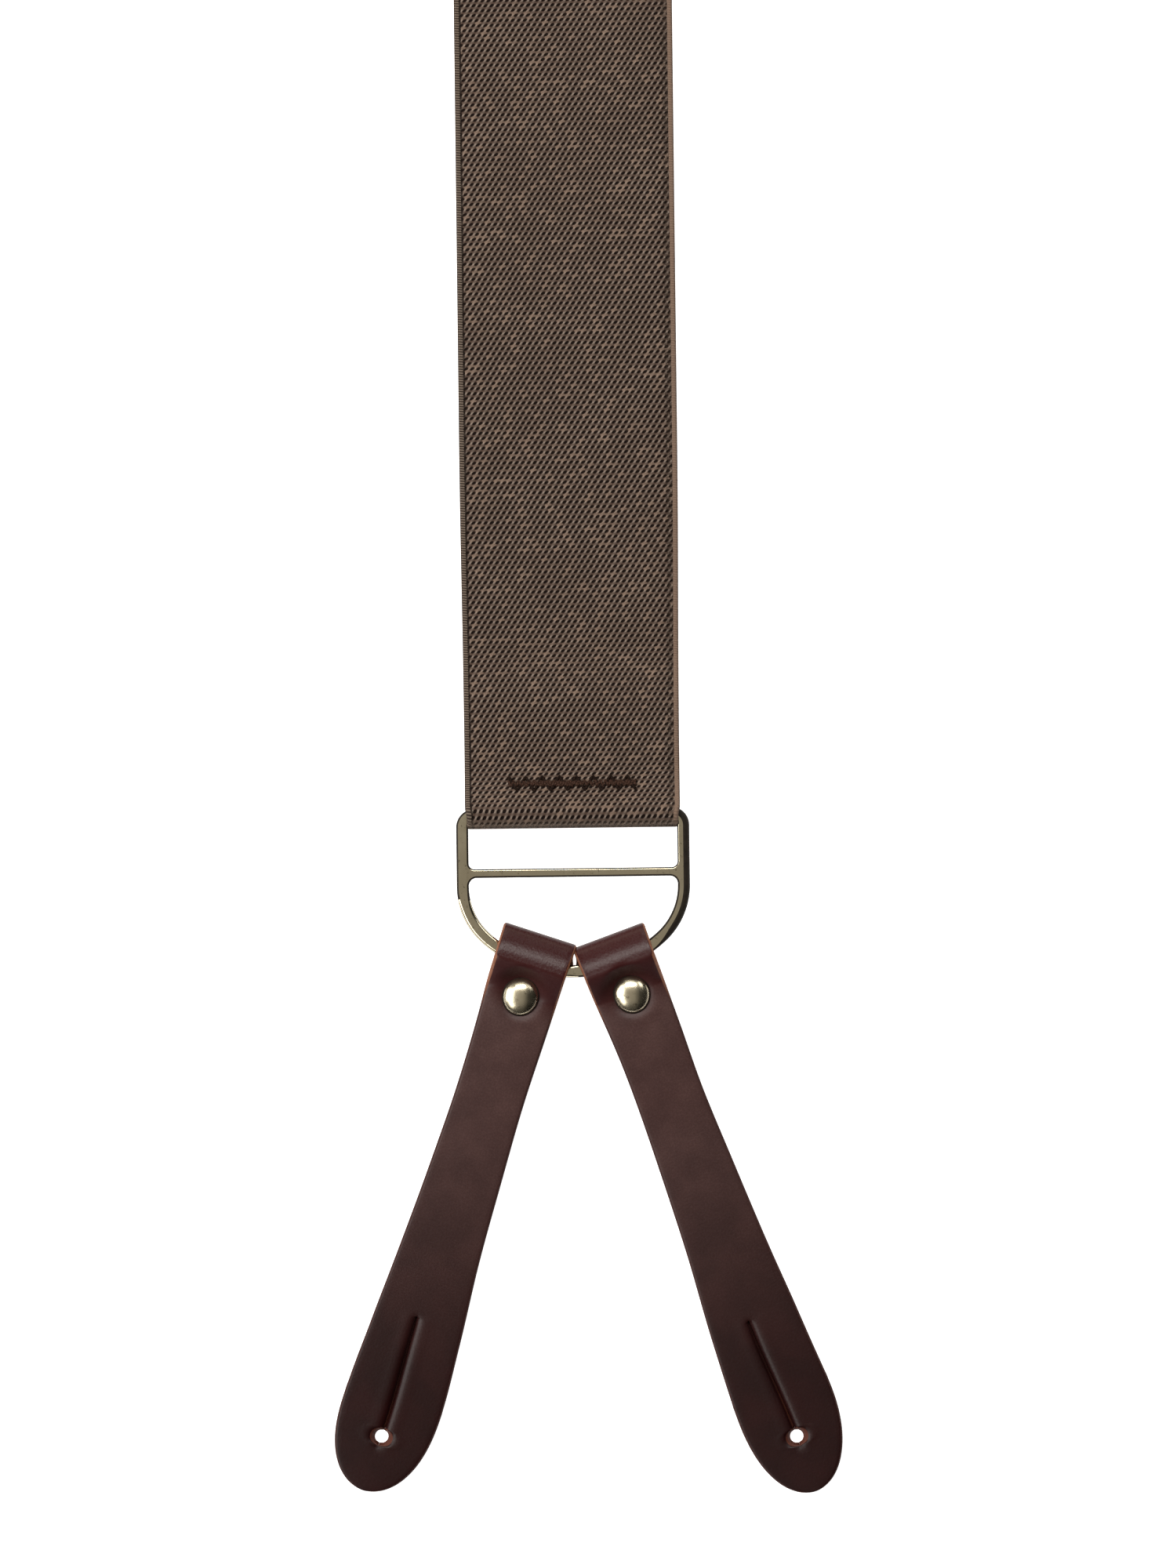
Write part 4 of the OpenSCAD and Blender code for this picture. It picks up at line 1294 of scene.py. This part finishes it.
# ---- Build ----------------------------------------------------------------
centre_ring()
rear_webbing()
for f in ("left", "right"):
    shoulder_webbing(f)
    tail_webbing(f)
    polished(f"adjuster_frame_{f}", f"adjuster_{f}", f"adjuster_{f}", 0.22)
    polished(f"adjuster_lever_{f}", f"lever_{f}", f"lever_{f}", 0.14)
stitching()
for e in ENDS:
    d_ring(e)
    for s in SIDES:
        plus = plus_side[e] == s
        button_tab(e, s, plus)
        rivet(e, s, plus)


# ---- Floor, light and camera ----------------------------------------------
# The picture's own directions on the floor: its right, its up and its middle.
LEAN = math.radians(0.69)
FRAME_HEIGHT = 258.06
end = end_place["rear_right"]
down_way = math.cos(LEAN) * end.x - math.sin(LEAN) * end.y
right_way = math.sin(LEAN) * end.x + math.cos(LEAN) * end.y
middle = end(np.array(-4.75), np.array(2.36), np.array(4.0))


def stage_floor():
    m, _, _ = material("floor", Base_Color=(0.9, 0.9, 0.9), Roughness=0.9,
                       Emission_Color=(1.0, 1.0, 1.0), Emission_Strength=0.95)
    r = 4000.0
    z = -0.2
    corners = [(-r, -r, z), (r, -r, z), (r, r, z), (-r, r, z)]
    floor = new_object("floor", corners, [(0, 1, 2, 3)], [m])


def area_light(name, right, up, height, size, power, colour):
    """A soft box, placed by the picture's right and up, in metres from the picture's middle."""
    light = bpy.data.lights.new(name, "AREA")
    light.shape = "RECTANGLE"
    light.size, light.size_y = size
    light.energy = power
    light.color = colour
    obj = bpy.data.objects.new(name, light)
    aim = Vector(middle * MM)
    spot = aim + Vector(right_way) * right - Vector(down_way) * up
    spot.z = height
    obj.location = spot
    obj.rotation_euler = (aim - spot).to_track_quat("-Z", "Y").to_euler()
    show(obj)


def studio_world():
    """A dim studio: paler overhead and behind the picture's top, dark on its right and below."""
    world = bpy.data.worlds.new("studio")
    world.use_nodes = True
    n = Nodes(world.node_tree)
    back = world.node_tree.nodes["Background"]
    way = n.add("ShaderNodeTexCoord").outputs["Generated"]
    to_right = n.add("ShaderNodeVectorMath", operation="DOT_PRODUCT", i0=way,
                     i1=tuple(right_way)).outputs["Value"]
    to_top = n.add("ShaderNodeVectorMath", operation="DOT_PRODUCT", i0=way,
                   i1=tuple(-down_way)).outputs["Value"]
    height = n.add("ShaderNodeSeparateXYZ", Vector=way).outputs[2]
    level = n.step(height, 0.05, 0.75, 0.04, 0.27)
    level = n.times(level, n.step(to_top, 0.1, 0.7, 1.0, 1.15))
    level = n.times(level, n.step(to_top, -0.3, -0.75, 1.0, 0.3))
    level = n.times(level, n.step(to_right, 0.08, 0.5, 1.0, 0.07))
    n.put(back, "Color", n.mix(level, (0.0, 0.0, 0.0), (1.0, 0.93, 0.82)))
    back.inputs["Strength"].default_value = 1.0
    bpy.context.scene.world = world


def camera():
    """Straight above the end in the picture, far enough for a nearly flat view."""
    cam = bpy.data.cameras.new("camera")
    distance = 1.6
    sensor = 36.0
    cam.sensor_fit = "VERTICAL"
    cam.sensor_width = cam.sensor_height = sensor
    cam.lens = sensor * distance / (FRAME_HEIGHT * MM)
    cam.clip_end = 20.0
    obj = bpy.data.objects.new("camera", cam)
    back = Vector((0, 0, 1))
    rot = Matrix((Vector(right_way), Vector(-down_way), back)).transposed()
    obj.matrix_world = Matrix.Translation(Vector(middle * MM) + back * distance) @ rot.to_4x4()
    show(obj)
    bpy.context.scene.camera = obj


stage_floor()
area_light("left", -0.95, 0.1, 0.85, (1.0, 1.0), 10.0, (1.0, 0.99, 0.96))
area_light("top", -0.05, 0.66, 1.1, (0.9, 0.26), 6.0, (1.0, 0.98, 0.94))
area_light("back", -0.1, 1.3, 0.28, (1.5, 0.3), 2.6, (1.0, 0.94, 0.8))
area_light("high", 0.0, 1.15, 0.62, (0.7, 0.2), 1.3, (1.0, 0.98, 0.94))
area_light("low", -0.72, -0.6, 0.9, (0.5, 0.5), 2.2, (1.0, 0.98, 0.94))
area_light("corner", 0.8, 0.75, 0.8, (0.4, 0.4), 1.6, (1.0, 0.98, 0.95))
studio_world()
camera()
bpy.context.scene.view_settings.view_transform = "Standard"

bpy.context.view_layer.update()
